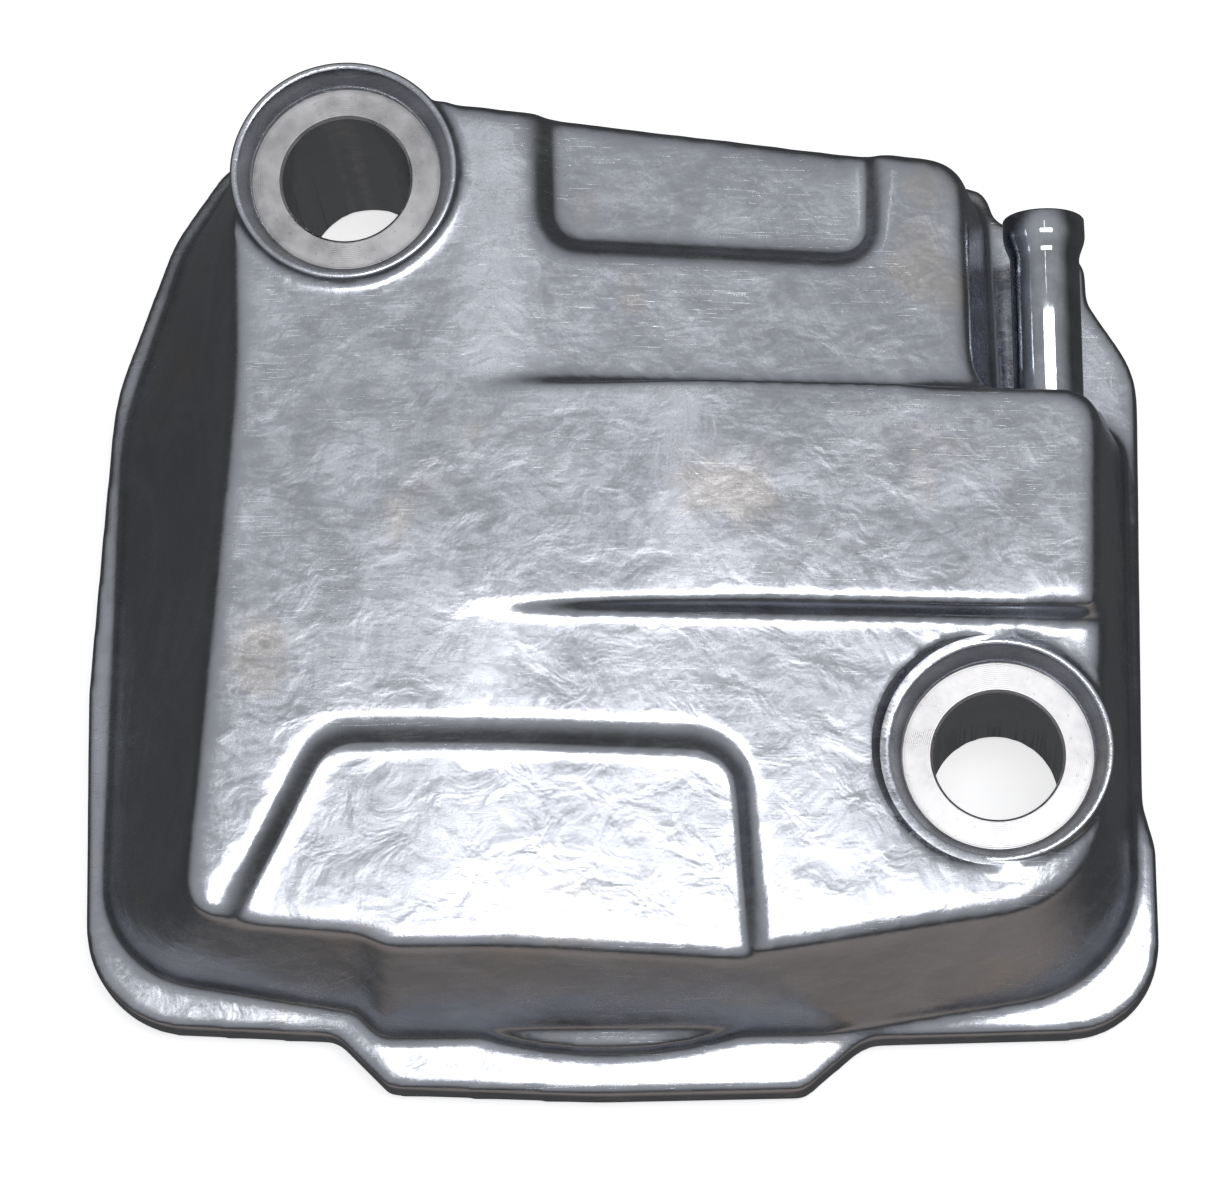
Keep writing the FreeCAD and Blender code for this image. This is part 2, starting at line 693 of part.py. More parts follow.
def mesh_holder():
    """Perforated channel that carries the oil separator."""
    body = new_body("mesh_holder")
    thick = dim("holder_thickness")
    left = dim("mesh_left") - thick
    right = dim("mesh_right") + thick
    top = FLOOR_TOP + thick + dim("rivet_head_height") + dim("mesh_height")
    side = [(left, FLOOR_TOP), (right, FLOOR_TOP), (right, top), (right - thick, top),
            (right - thick, FLOOR_TOP + thick), (left + thick, FLOOR_TOP + thick), (left + thick, top),
            (left, top)]
    sketch = body_sketch(body, "holder_side", "XZ_Plane", 0, polygon_loop(side))
    feature = pad(body, sketch, "holder_pad",
                  "dims.chamber_back - dims.chamber_front - 2 * dims.mesh_side_gap")
    feature.Midplane = True
    pitch = dim("holder_hole_pitch")
    rows = [(y * pitch, FLOOR_TOP + 3.6 + z * pitch) for y in (-1.5, -0.5, 0.5, 1.5) for z in range(3)]
    holes = body_sketch(body, "holder_holes_sketch", "YZ_Plane", 0,
                        [circle(y, z, dim("holder_hole_radius")) for y, z in rows])
    for index in range(len(rows)):
        bind_radius(holes, index, "dims.holder_hole_radius")
    pocket_through(body, holes, "holder_holes")
    middle = (dim("chamber_back") + dim("chamber_front")) / 2
    cut_holes(body, "holder_rivet_holes", FLOOR_TOP,
              [(x, y - middle, "dims.rivet_radius") for x, y in HOLDER_RIVETS])
    body.Placement = at(0, middle, 0)
    return body


def separator_mesh():
    """Knitted wire pad that catches oil mist."""
    pad_solid = doc.addObject("Part::Box", "separator_mesh_box")
    pad_solid.Label = "separator_mesh"
    pad_solid.setExpression("Length", "dims.mesh_right - dims.mesh_left")
    pad_solid.setExpression("Width", "dims.chamber_back - dims.chamber_front - 2 * dims.mesh_side_gap")
    pad_solid.setExpression("Height", "dims.mesh_height - 0.3")
    bottom = FLOOR_TOP + dim("holder_thickness") + dim("rivet_head_height")
    pad_solid.Placement = at(dim("mesh_left"), dim("chamber_front") + dim("mesh_side_gap"), bottom)
    return pad_solid


def rivet(name, x, y, low, high):
    """A rivet whose two heads bear on the levels low and high."""
    shank = cylinder(name + "_shank", "dims.rivet_radius", str(high - low), at(x, y, low))
    upper = cylinder(name + "_upper", "dims.rivet_head_radius", "dims.rivet_head_height", at(x, y, high))
    lower = cylinder(name + "_lower", "dims.rivet_head_radius", "dims.rivet_head_height",
                     at(x, y, low - dim("rivet_head_height")))
    return combine("MultiFuse", name, shank, upper, lower)


def holder_rivets():
    """Rivets that hold the separator's channel to the floor."""
    high = FLOOR_TOP + dim("holder_thickness")
    return group("holder_rivets", [rivet("holder_rivet_%d" % index, x, y, FLOOR_BOTTOM, high)
                                   for index, (x, y) in enumerate(HOLDER_RIVETS)])


def splash_shield():
    """Bridge under the port that keeps thrown oil out of the valve."""
    body = new_body("splash_shield")
    thick = dim("shield_thickness")
    drop = dim("shield_drop")
    left = SHIELD_RIVETS[0][0] - 2.6
    right = SHIELD_RIVETS[1][0] + 2.6
    foot = 5.4
    top = FLOOR_BOTTOM
    low = top - drop
    side = [
        (left, top), (left + foot, top), (left + foot + 2, low + thick), (right - foot - 2, low + thick),
        (right - foot, top), (right, top), (right, top - thick), (right - foot + 0.6, top - thick),
        (right - foot - 1.6, low), (left + foot + 1.6, low), (left + foot - 0.6, top - thick),
        (left, top - thick),
    ]
    sketch = body_sketch(body, "shield_side", "XZ_Plane", 0, polygon_loop(side))
    feature = pad(body, sketch, "shield_pad", "dims.reed_width + 1")
    feature.Midplane = True
    cut_holes(body, "shield_holes", top, [(x, 0, "dims.rivet_radius") for x, _ in SHIELD_RIVETS])
    body.Placement = at(0, dim("valve_y"), 0)
    return body


def shield_rivets():
    """Rivets that hold the splash shield to the floor."""
    low = FLOOR_BOTTOM - dim("shield_thickness")
    return group("shield_rivets", [rivet("shield_rivet_%d" % index, x, y, low, FLOOR_TOP)
                                   for index, (x, y) in enumerate(SHIELD_RIVETS)])


def oil_drain_tube():
    """Short tube pressed into the floor, through which caught oil runs back."""
    body = new_body("oil_drain_tube")
    outer = dim("drain_radius")
    inner = dim("drain_bore")
    low = FLOOR_TOP - dim("drain_length")
    section = [(inner, low), (outer, low), (outer, FLOOR_TOP), (inner, FLOOR_TOP)]
    sketch = body_sketch(body, "drain_section", "XZ_Plane", 0, polygon_loop(section))
    revolve(body, sketch, "drain_turned")
    body.Placement = at(dim("drain_x"), dim("drain_y"), 0)
    return body


# ---------------------------------------------------------------- build, check and write
PARTS = [
    cover_casting(), cover_gasket(), breather_tube(), floor_plate(), floor_gasket(), floor_screws(),
    floor_washers(), reed_petal(), reed_root(), reed_stop(), reed_screw(), reed_nut(), mesh_holder(),
    separator_mesh(), holder_rivets(), splash_shield(), shield_rivets(), oil_drain_tube(),
]
doc.recompute()

for item in doc.Objects:
    bad = {"Invalid", "Error"} & set(item.State)
    if bad:
        raise RuntimeError("%s: %s" % (item.Name, ", ".join(sorted(bad))))
for item in PARTS:
    shape = item.Shape
    if shape.isNull() or not shape.isValid() or not shape.Solids:
        raise RuntimeError("%s has no valid solid" % item.Label)

os.makedirs("parts", exist_ok=True)
for item in PARTS:
    item.Shape.exportStep("parts/%s.step" % item.Label)
    box = item.Shape.BoundBox
    print("%-16s solids %d  volume %9.1f  x %6.1f..%5.1f  y %6.1f..%5.1f  z %5.1f..%4.1f" % (
        item.Label, len(item.Shape.Solids), item.Shape.Volume,
        box.XMin, box.XMax, box.YMin, box.YMax, box.ZMin, box.ZMax))
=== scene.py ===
"""Cylinder head cover with breather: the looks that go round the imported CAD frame."""

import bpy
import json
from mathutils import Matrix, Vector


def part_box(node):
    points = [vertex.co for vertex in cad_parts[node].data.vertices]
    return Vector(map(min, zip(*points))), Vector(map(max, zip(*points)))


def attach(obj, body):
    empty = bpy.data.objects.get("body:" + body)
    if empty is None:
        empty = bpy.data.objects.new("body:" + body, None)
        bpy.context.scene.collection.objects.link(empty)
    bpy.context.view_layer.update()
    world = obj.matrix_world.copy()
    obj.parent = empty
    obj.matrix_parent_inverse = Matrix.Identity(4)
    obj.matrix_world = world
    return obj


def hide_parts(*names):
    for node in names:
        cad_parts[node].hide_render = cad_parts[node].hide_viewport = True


bl_info = {
    "name": "Cylinder Head Cover",
    "version": (1, 0, 0),
    "blender": (4, 5, 0),
    "location": "View3D > Sidebar > Head Cover",
    "description": "Builds a die-cast cylinder head cover with its breather round a fixed CAD frame",
    "category": "Object",
}

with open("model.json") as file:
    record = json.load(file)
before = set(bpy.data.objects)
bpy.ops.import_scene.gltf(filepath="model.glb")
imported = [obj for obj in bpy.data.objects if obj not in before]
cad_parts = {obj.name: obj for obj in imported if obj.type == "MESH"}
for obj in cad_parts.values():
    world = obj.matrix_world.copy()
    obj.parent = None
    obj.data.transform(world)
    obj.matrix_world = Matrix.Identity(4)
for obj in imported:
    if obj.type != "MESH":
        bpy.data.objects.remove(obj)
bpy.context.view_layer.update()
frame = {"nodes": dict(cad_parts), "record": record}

import json
import math

import bmesh
import bpy
import numpy as np
from bpy.props import FloatProperty, FloatVectorProperty, IntProperty, PointerProperty
from mathutils import Matrix, Vector

MM = 0.001
COVER = "cover"


def mount(name):
    """Position of one of the record's mounts."""
    found = next(entry for entry in frame["record"]["mounts"] if entry["name"] == name)
    return Vector(found["pos_m"]), found["dims"]


LEFT_BOLT, LEFT_DIMS = mount("left_bolt_hole")
RIGHT_BOLT, RIGHT_DIMS = mount("right_bolt_hole")
SPIGOT, SPIGOT_DIMS = mount("breather_spigot")
BOLT_BORE = LEFT_DIMS["r_mm"] * MM
LEFT_SEAT = LEFT_DIMS["length_mm"] * MM
RIGHT_SEAT = RIGHT_DIMS["length_mm"] * MM


# ---------------------------------------------------------------- settings
class CastingSettings(bpy.types.PropertyGroup):
    """Sizes of the casting's finish."""

    voxel: FloatProperty(
        name="Voxel", description="Grid size that the rounded casting is made on",
        default=0.48 * MM, unit="LENGTH", precision=5)
    round_steps: IntProperty(
        name="Rounding steps", description="How far cast edges are rounded", default=64, min=0)
    triangles: IntProperty(
        name="Triangles", description="Most triangles that the casting may have", default=170000)
    wobble: FloatProperty(
        name="Wobble", description="Height of the gentle unevenness of the cast walls",
        default=0.22 * MM, unit="LENGTH", precision=5)
    seat_chamfer: FloatProperty(
        name="Seat chamfer", description="Chamfer between a bolt bore and its seat",
        default=0.3 * MM, unit="LENGTH", precision=5)
    seat_radius: FloatProperty(
        name="Seat radius", description="Outer radius of the turned seat",
        default=10.7 * MM, unit="LENGTH", precision=5)
    pocket_radius: FloatProperty(
        name="Pocket radius", description="Radius of the pocket at the lip's top",
        default=12.1 * MM, unit="LENGTH", precision=5)
    lip_radius: FloatProperty(
        name="Lip radius", description="Outer radius of the lip round a seat",
        default=12.95 * MM, unit="LENGTH", precision=5)
    lip_depth: FloatProperty(
        name="Lip depth", description="From the lip's top down to the seat",
        default=3.3 * MM, unit="LENGTH", precision=5)
    boss_depth: FloatProperty(
        name="Boss depth", description="From a seat down to the bottom of its boss",
        default=3.0 * MM, unit="LENGTH", precision=5)


class FinishSettings(bpy.types.PropertyGroup):
    """Colours of the finishes."""

    cast: FloatVectorProperty(
        name="Cast aluminium", description="Tumbled die-cast surface", subtype="COLOR",
        default=(0.515, 0.53, 0.58), min=0, max=1)
    machined: FloatVectorProperty(
        name="Machined aluminium", description="Cut seats and faces", subtype="COLOR",
        default=(0.57, 0.56, 0.57), min=0, max=1)
    plating: FloatVectorProperty(
        name="Plating", description="Bright plating of the breather tube", subtype="COLOR",
        default=(0.52, 0.54, 0.58), min=0, max=1)
    steel: FloatVectorProperty(
        name="Pressed steel", description="Oiled sheet steel", subtype="COLOR",
        default=(0.46, 0.46, 0.47), min=0, max=1)
    zinc: FloatVectorProperty(
        name="Zinc", description="Zinc plated fasteners", subtype="COLOR",
        default=(0.72, 0.71, 0.64), min=0, max=1)
    spring: FloatVectorProperty(
        name="Spring steel", description="Blued strip of the reed", subtype="COLOR",
        default=(0.28, 0.32, 0.42), min=0, max=1)
    brass: FloatVectorProperty(
        name="Brass", description="Oil drain tube", subtype="COLOR",
        default=(0.80, 0.58, 0.25), min=0, max=1)
    rubber: FloatVectorProperty(
        name="Rubber", description="Cover gasket", subtype="COLOR",
        default=(0.022, 0.022, 0.025), min=0, max=1)
    fibre: FloatVectorProperty(
        name="Gasket sheet", description="Breather floor gasket", subtype="COLOR",
        default=(0.16, 0.20, 0.17), min=0, max=1)


# ---------------------------------------------------------------- shader helpers
def node(tree, kind, inputs=None, **settings):
    """Adds a shader or geometry node; an input is a value or another node's output."""
    made = tree.nodes.new(kind)
    for key, value in settings.items():
        setattr(made, key, value)
    for key, value in (inputs or {}).items():
        if isinstance(value, bpy.types.NodeSocket):
            tree.links.new(value, made.inputs[key])
        else:
            made.inputs[key].default_value = value
    return made


def new_material(name):
    """An empty material with a Principled shader wired to its output."""
    material = bpy.data.materials.new(name)
    material.use_nodes = True
    tree = material.node_tree
    tree.nodes.clear()
    surface = node(tree, "ShaderNodeBsdfPrincipled")
    node(tree, "ShaderNodeOutputMaterial", {"Surface": surface.outputs["BSDF"]})
    return material, tree, surface


def object_coords(tree, scale=(1, 1, 1), turn=(0, 0, 0), shift=(0, 0, 0)):
    """Object coordinates through a mapping."""
    coords = node(tree, "ShaderNodeTexCoord").outputs["Object"]
    mapping = node(tree, "ShaderNodeMapping", {
        "Vector": coords, "Scale": scale, "Rotation": turn, "Location": shift})
    return mapping.outputs["Vector"]


def noise(tree, vector, size, detail=4.0, roughness=0.55, distortion=0.0):
    """Noise whose cells are about size metres across."""
    made = node(tree, "ShaderNodeTexNoise", {
        "Vector": vector, "Scale": 1 / size, "Detail": detail, "Roughness": roughness,
        "Distortion": distortion})
    return made.outputs["Fac"]


def ramp(tree, value, low, high, out_low=0.0, out_high=1.0):
    """Maps low..high onto out_low..out_high, clamped."""
    made = node(tree, "ShaderNodeMapRange", {
        "Value": value, "From Min": low, "From Max": high, "To Min": out_low, "To Max": out_high})
    made.interpolation_type = "SMOOTHSTEP"
    return made.outputs["Result"]


def maths(tree, operation, a, b=0.0):
    """One scalar operation."""
    return node(tree, "ShaderNodeMath", {0: a, 1: b}, operation=operation).outputs[0]


def mix_colour(tree, factor, a, b):
    """Mixes two colours."""
    made = node(tree, "ShaderNodeMix", data_type="RGBA")
    for socket, value in ((0, factor), (6, a), (7, b)):
        if isinstance(value, bpy.types.NodeSocket):
            tree.links.new(value, made.inputs[socket])
        elif socket == 0:
            made.inputs[socket].default_value = value
        else:
            made.inputs[socket].default_value = (*value[:3], 1.0)
    return made.outputs[2]


def bump(tree, height, distance, strength=1.0, normal=None):
    """Bump of a height in metres."""
    inputs = {"Height": height, "Distance": distance, "Strength": strength}
    if normal is not None:
        inputs["Normal"] = normal
    return node(tree, "ShaderNodeBump", inputs).outputs["Normal"]


def scaled(colour, factor):
    """A colour made lighter or darker."""
    return tuple(min(1.0, channel * factor) for channel in colour)


def scratches(tree, turn, length, width, density):
    """Fine straight scratches that run along one direction."""
    stretched = object_coords(tree, (1 / length, 1 / width, 1 / length), (0.0, 0.0, turn))
    fine = node(tree, "ShaderNodeTexNoise", {
        "Vector": stretched, "Scale": 1.0, "Detail": 2.0, "Roughness": 0.5}).outputs["Fac"]
    patches = noise(tree, object_coords(tree), 14 * MM, 1.0)
    lines = ramp(tree, fine, density, density + 0.03)
    return maths(tree, "MULTIPLY", lines, ramp(tree, patches, 0.45, 0.65))


# ---------------------------------------------------------------- finishes
TOOL_PITCH = 0.22 * MM  # distance between two turned rings on a seat


def cast_finish(colour):
    """Tumbled die casting: cloudy patches, fine grain, scratches, painted shade in corners, bright edges
    that are partly wear and partly painted highlight.
    """
    material, tree, surface = new_material("cast_aluminium")
    place = object_coords(tree)
    clouds = noise(tree, place, 13 * MM, 5.0, 0.6, 1.4)
    streaks = noise(tree, object_coords(tree, (1, 2.4, 1), (0, 0, 0.5)), 6 * MM, 4.0, 0.6, 0.8)
    grain = noise(tree, place, 0.35 * MM, 3.0, 0.6)
    tint = mix_colour(tree, ramp(tree, clouds, 0.34, 0.66), scaled(colour, 0.93), scaled(colour, 1.07))
    warm = ramp(tree, noise(tree, object_coords(tree, shift=(0.3, 0.1, 0.2)), 17 * MM, 3.0), 0.58, 0.70)
    tint = mix_colour(tree, maths(tree, "MULTIPLY", warm, 0.5), tint, (0.60, 0.55, 0.50))
    tint = mix_colour(tree, ramp(tree, streaks, 0.55, 0.80, 0.0, 0.25), tint, scaled(colour, 0.76))
    curve = node(tree, "ShaderNodeAttribute", attribute_name="curvature").outputs["Fac"]
    # painted shade: the hollows of the casting are darkened towards near black, standing in for the shade
    # that falls in them
    painted_hollow_shade = ramp(tree, curve, 0.458, 0.37)
    # convex edges: partly real wear (lower roughness) and partly painted highlight, brightened towards near
    # white
    wear_and_edge_highlight = ramp(tree, curve, 0.54, 0.63)
    tint = mix_colour(tree, maths(tree, "MULTIPLY", painted_hollow_shade, 0.65), tint, (0.10, 0.10, 0.11))
    tint = mix_colour(tree, maths(tree, "MULTIPLY", wear_and_edge_highlight, 0.55), tint, (0.82, 0.83, 0.86))
    marks = maths(tree, "MAXIMUM",
                  scratches(tree, 0.35, 9 * MM, 0.16 * MM, 0.66),
                  scratches(tree, -0.75, 7 * MM, 0.14 * MM, 0.67))
    tint = mix_colour(tree, maths(tree, "MULTIPLY", marks, 0.5), tint, (0.85, 0.86, 0.88))
    tree.links.new(tint, surface.inputs["Base Color"])
    surface.inputs["Metallic"].default_value = 1.0
    strokes = noise(tree, object_coords(tree, (1, 3.0, 1), (0, 0, -0.6)), 5 * MM, 5.0, 0.65, 1.8)
    rough = ramp(tree, clouds, 0.35, 0.65, 0.19, 0.24)
    rough = maths(tree, "ADD", rough, ramp(tree, strokes, 0.36, 0.62, -0.02, 0.06))
    rough = maths(tree, "ADD", rough, ramp(tree, grain, 0.3, 0.7, -0.02, 0.03))
    rough = maths(tree, "SUBTRACT", rough, maths(tree, "MULTIPLY", wear_and_edge_highlight, 0.08))
    tree.links.new(rough, surface.inputs["Roughness"])
    dents = noise(tree, place, 5 * MM, 3.0, 0.5, 0.6)
    normal = bump(tree, dents, 0.20 * MM, 0.55)
    normal = bump(tree, grain, 0.01 * MM, 0.5, normal)
    normal = bump(tree, marks, -0.02 * MM, 0.6, normal)
    tree.links.new(normal, surface.inputs["Normal"])
    return material


def machined_finish(name, colour):
    """Turned seats: fine rings round whichever bolt axis is nearer."""
    material, tree, surface = new_material(name)
    reaches = []
    for centre in (LEFT_BOLT, RIGHT_BOLT):
        local = object_coords(tree, shift=(-centre.x, -centre.y, 0))
        flat = node(tree, "ShaderNodeVectorMath", {0: local, 1: (1, 1, 0)}, operation="MULTIPLY")
        reach = node(tree, "ShaderNodeVectorMath", {0: flat.outputs[0]}, operation="LENGTH")
        reaches.append(reach.outputs["Value"])
    radius = maths(tree, "MINIMUM", *reaches)
    rings = maths(tree, "SINE", maths(tree, "MULTIPLY", radius, 2 * math.pi / TOOL_PITCH))
    wear = noise(tree, object_coords(tree), 3 * MM, 4.0, 0.6)
    tint = mix_colour(tree, ramp(tree, wear, 0.35, 0.7), scaled(colour, 0.86), scaled(colour, 1.08))
    specks = noise(tree, object_coords(tree), 0.6 * MM, 2.0)
    tint = mix_colour(tree, ramp(tree, specks, 0.66, 0.72, 0.0, 0.45), tint, (0.28, 0.28, 0.29))
    # painted shade: the seat is darkened towards its outer rim, at the foot of the pocket wall
    edge = ramp(tree, radius, 10.1 * MM, 10.7 * MM, 0.0, 0.45)
    tint = mix_colour(tree, edge, tint, scaled(colour, 0.45))
    tree.links.new(tint, surface.inputs["Base Color"])
    surface.inputs["Metallic"].default_value = 1.0
    tree.links.new(ramp(tree, wear, 0.3, 0.7, 0.26, 0.38), surface.inputs["Roughness"])
    normal = bump(tree, rings, 0.006 * MM, 0.5)
    tree.links.new(bump(tree, specks, 0.01 * MM, 0.4, normal), surface.inputs["Normal"])
    return material


def metal_finish(name, colour, rough, grain_size=0.4 * MM, brushed=(1, 1, 1), stain=0.25):
    """Metal with a light grain, stains and a changing roughness."""
    material, tree, surface = new_material(name)
    place = object_coords(tree)
    patches = noise(tree, place, 4 * MM, 4.0, 0.6, 0.5)
    grain = noise(tree, object_coords(tree, brushed), grain_size, 3.0)
    tint = mix_colour(tree, ramp(tree, patches, 0.35, 0.65), scaled(colour, 1 - stain), scaled(colour, 1.1))
    tint = mix_colour(tree, ramp(tree, grain, 0.45, 0.75, 0.0, 0.3), tint, scaled(colour, 0.6))
    tree.links.new(tint, surface.inputs["Base Color"])
    surface.inputs["Metallic"].default_value = 1.0
    tree.links.new(ramp(tree, patches, 0.3, 0.7, rough * 0.75, rough * 1.3), surface.inputs["Roughness"])
    tree.links.new(bump(tree, grain, 0.012 * MM, 0.5), surface.inputs["Normal"])
    return material


def dull_finish(name, colour, rough, grain_size, depth):
    """Non-metal with a fine grain, for rubber and gasket sheet."""
    material, tree, surface = new_material(name)
    place = object_coords(tree)
    patches = noise(tree, place, 5 * MM, 4.0)
    grain = noise(tree, place, grain_size, 4.0, 0.65)
    tint = mix_colour(tree, ramp(tree, patches, 0.35, 0.65), scaled(colour, 0.8), scaled(colour, 1.3))
    tint = mix_colour(tree, ramp(tree, grain, 0.5, 0.8, 0.0, 0.5), tint, scaled(colour, 1.8))
    tree.links.new(tint, surface.inputs["Base Color"])
    tree.links.new(ramp(tree, grain, 0.3, 0.7, rough * 0.9, rough * 1.1), surface.inputs["Roughness"])
    tree.links.new(bump(tree, grain, depth, 0.6), surface.inputs["Normal"])
    return material


# ---------------------------------------------------------------- mesh helpers
def new_object(name, mesh):
    """A linked object at the origin."""
    made = bpy.data.objects.new(name, mesh)
    bpy.context.scene.collection.objects.link(made)
    return made


def evaluated_mesh(source, name):
    """The mesh that an object has with its modifiers, as plain mesh data."""
    graph = bpy.context.evaluated_depsgraph_get()
    mesh = bpy.data.meshes.new_from_object(source.evaluated_get(graph))
    mesh.name = name
    return mesh


def bake_modifiers(target):
    """Replaces an object's mesh with what its modifiers make of it."""
    mesh = evaluated_mesh(target, target.name)
    target.modifiers.clear()
    target.data = mesh


def merged_copy(node_name, name):
    """A closed copy of a CAD node's mesh, with its loose triangles joined."""
    mesh = frame["nodes"][node_name].data.copy()
    mesh.materials.clear()
    work = bmesh.new()
    work.from_mesh(mesh)
    bmesh.ops.remove_doubles(work, verts=work.verts, dist=0.002 * MM)
    work.to_mesh(mesh)
    work.free()
    return new_object(name, mesh)


def lathe(name, profile, centre, axis, segments=128, materials=(), bands=None):
    """A closed turned solid: profile points are (radius, distance along the axis).

    bands gives a material's index for the band that starts at each profile point.
    """
    turn = Vector((0, 0, 1)).rotation_difference(Vector(axis)).to_matrix()
    work = bmesh.new()
    rings = []
    for radius, along in profile:
        if radius <= 0:
            rings.append([work.verts.new(Vector(centre) + turn @ Vector((0, 0, along)))])
            continue
        ring = []
        for step in range(segments):
            angle = 2 * math.pi * step / segments
            local = Vector((radius * math.cos(angle), radius * math.sin(angle), along))
            ring.append(work.verts.new(Vector(centre) + turn @ local))
        rings.append(ring)
    closed = profile[0][0] > 0
    pairs = list(zip(rings, rings[1:]))
    if closed:
        pairs.append((rings[-1], rings[0]))
    for place, (first, second) in enumerate(pairs):
        for step in range(segments):
            corners = []
            for ring, index in ((first, step), (first, step + 1), (second, step + 1), (second, step)):
                vertex = ring[index % len(ring)]
                if vertex not in corners:
                    corners.append(vertex)
            if len(corners) > 2:
                face = work.faces.new(corners)
                face.material_index = bands[place] if bands else 0
    bmesh.ops.recalc_face_normals(work, faces=work.faces)
    mesh = bpy.data.meshes.new(name)
    work.to_mesh(mesh)
    work.free()
    made = new_object(name, mesh)
    for material in materials:
        made.data.materials.append(material)
    return made


def shade(target, angle=35):
    """Smooth shading, with edges sharper than the angle kept crisp."""
    for polygon in target.data.polygons:
        polygon.use_smooth = True
    target.data.set_sharp_from_angle(angle=math.radians(angle))


def finish_piece(target, body, slot, *replaced):
    """Puts a finished piece on its body and in place of CAD nodes."""
    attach(target, body)
    if replaced:
        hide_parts(*replaced)


def read_points(mesh):
    """Vertex positions as an array."""
    points = np.empty(len(mesh.vertices) * 3)
    mesh.vertices.foreach_get("co", points)
    return points.reshape(-1, 3)


def store_curvature(mesh, reach):
    """Writes how convex (over 0.5) or hollow (under 0.5) the surface is, as a vertex attribute."""
    points = read_points(mesh)
    normals = np.empty(len(points) * 3)
    mesh.vertices.foreach_get("normal", normals)
    normals = normals.reshape(-1, 3)
    ends = np.empty(len(mesh.edges) * 2, dtype=np.int64)
    mesh.edges.foreach_get("vertices", ends)
    first, second = ends.reshape(-1, 2).T
    both = np.concatenate([first, second])
    other = np.concatenate([second, first])
    neighbours = np.maximum(np.bincount(both, minlength=len(points)), 1)

    def neighbour_mean(values):
        return np.bincount(both, weights=values[other], minlength=len(points)) / neighbours

    relaxed = points.copy()
    for _ in range(reach):
        relaxed = np.stack([neighbour_mean(relaxed[:, axis]) for axis in range(3)], axis=1)
    bulge = np.einsum("ij,ij->i", points - relaxed, normals) / MM
    for _ in range(6):
        bulge = (bulge + neighbour_mean(bulge)) / 2
    attribute = mesh.attributes.new("curvature", "FLOAT", "POINT")
    attribute.data.foreach_set("value", np.clip(0.5 + bulge * 0.5, 0, 1).astype(np.float32))


# ---------------------------------------------------------------- casting
# the roof's rim in plan, in mm
ROOF_EDGE = (
    (-46.8, -41.2), (-27.0, -43.0), (-24.4, -44.3), (15.0, -44.9), (52.0, -35.5), (54.7, 18.4),
    (40.5, 18.7), (40.3, 46.0), (-27.0, 53.4), (-38.5, 51.5), (-41.4, 39.0), (-41.0, 20.0),
)
# the roof, its folds and its two recesses, in mm; each recess is its corners' centres and their radius
ROOF_TOP = 36.0
ROOF_FALL = math.tan(math.radians(10.0))
ROOF_BREAK = -11.5
BAND_BREAK = 12.0
BAND_FRONT = -7.0
BAND_BACK = 18.9
RECESS_DEPTH = 2.4
RECESS_SLOPE = 2.9
FOLD_REACH = 8.0
FOLD_FADE_FROM = 22.0
FOLD_FADE_OVER = 6.0
RECESSES = (
    (((-49.7, -70.0), (11.6, -70.0), (9.25, -27.5), (-27.85, -26.7)), 4.2),
    (((-2.0, 39.6), (26.85, 38.9), (27.6, 70.0), (-2.2, 70.0)), 2.6),
)
# heights in mm under which the casting is rounded less: gasket face, flange, lower walls
FACE_ZONE = 2.6
FLANGE_ZONE = 9.0
LOWER_WALLS = 14.0
SEAT_ZONE = 16.0
SEAT_REACH = 14.5
TURNED_SEGMENTS = 160


def distance_to_loop(points, loop):
    """Distance in plan from each point to a closed loop of straight runs."""
    nearest = np.full(len(points), np.inf)
    for start, end in zip(loop, loop[1:] + loop[:1]):
        start, run = np.array(start), np.array(end) - np.array(start)
        share = np.clip(((points[:, :2] - start) @ run) / (run @ run), 0, 1)
        gap = points[:, :2] - start - share[:, None] * run
        nearest = np.minimum(nearest, np.hypot(gap[:, 0], gap[:, 1]))
    return nearest


def roof_height(x):
    """Height of the main roof, flat on the left and falling to the right."""
    return ROOF_TOP - ROOF_FALL * np.maximum(x - ROOF_BREAK, 0)


def inside_loop(points, loop):
    """Which points lie inside a closed loop, in plan."""
    inside = np.zeros(len(points), dtype=bool)
    for (x0, y0), (x1, y1) in zip(loop, loop[1:] + loop[:1]):
        spans = (points[:, 1] > y0) != (points[:, 1] > y1)
        crossing = x0 + (points[:, 1] - y0) * (x1 - x0) / ((y1 - y0) or 1e-9)
        inside ^= spans & (points[:, 0] < crossing)
    return inside


def shape_roof(mesh):
    """Slopes the recess walls and bends the roof softly at its folds."""
    points = read_points(mesh) / MM
    roof = roof_height(points[:, 0])
    for loop, radius in RECESSES:
        gap = distance_to_loop(points, loop) - radius
        gap[inside_loop(points, loop)] = -radius
        share = np.clip(gap / RECESS_SLOPE, 0, 1)
        level = roof - RECESS_DEPTH * (1 - share * share * (3 - 2 * share))
        skin = (points[:, 2] > roof - RECESS_DEPTH - 0.3) & (gap > -0.6) & (gap < RECESS_SLOPE)
        points[skin, 2] = np.minimum(points[skin, 2], level[skin])
    in_band = (points[:, 1] > BAND_FRONT) & (points[:, 1] < BAND_BACK)
    fold = np.where(in_band, BAND_BREAK, ROOF_BREAK)
    near = np.clip(FOLD_REACH - np.abs(points[:, 0] - fold), 0, None)
    drop = ROOF_FALL * near ** 2 / (4 * FOLD_REACH)
    points[:, 2] -= drop * np.clip((points[:, 2] - FOLD_FADE_FROM) / FOLD_FADE_OVER, 0, 1)
    mesh.vertices.foreach_set("co", (points * MM).ravel())
    mesh.update()


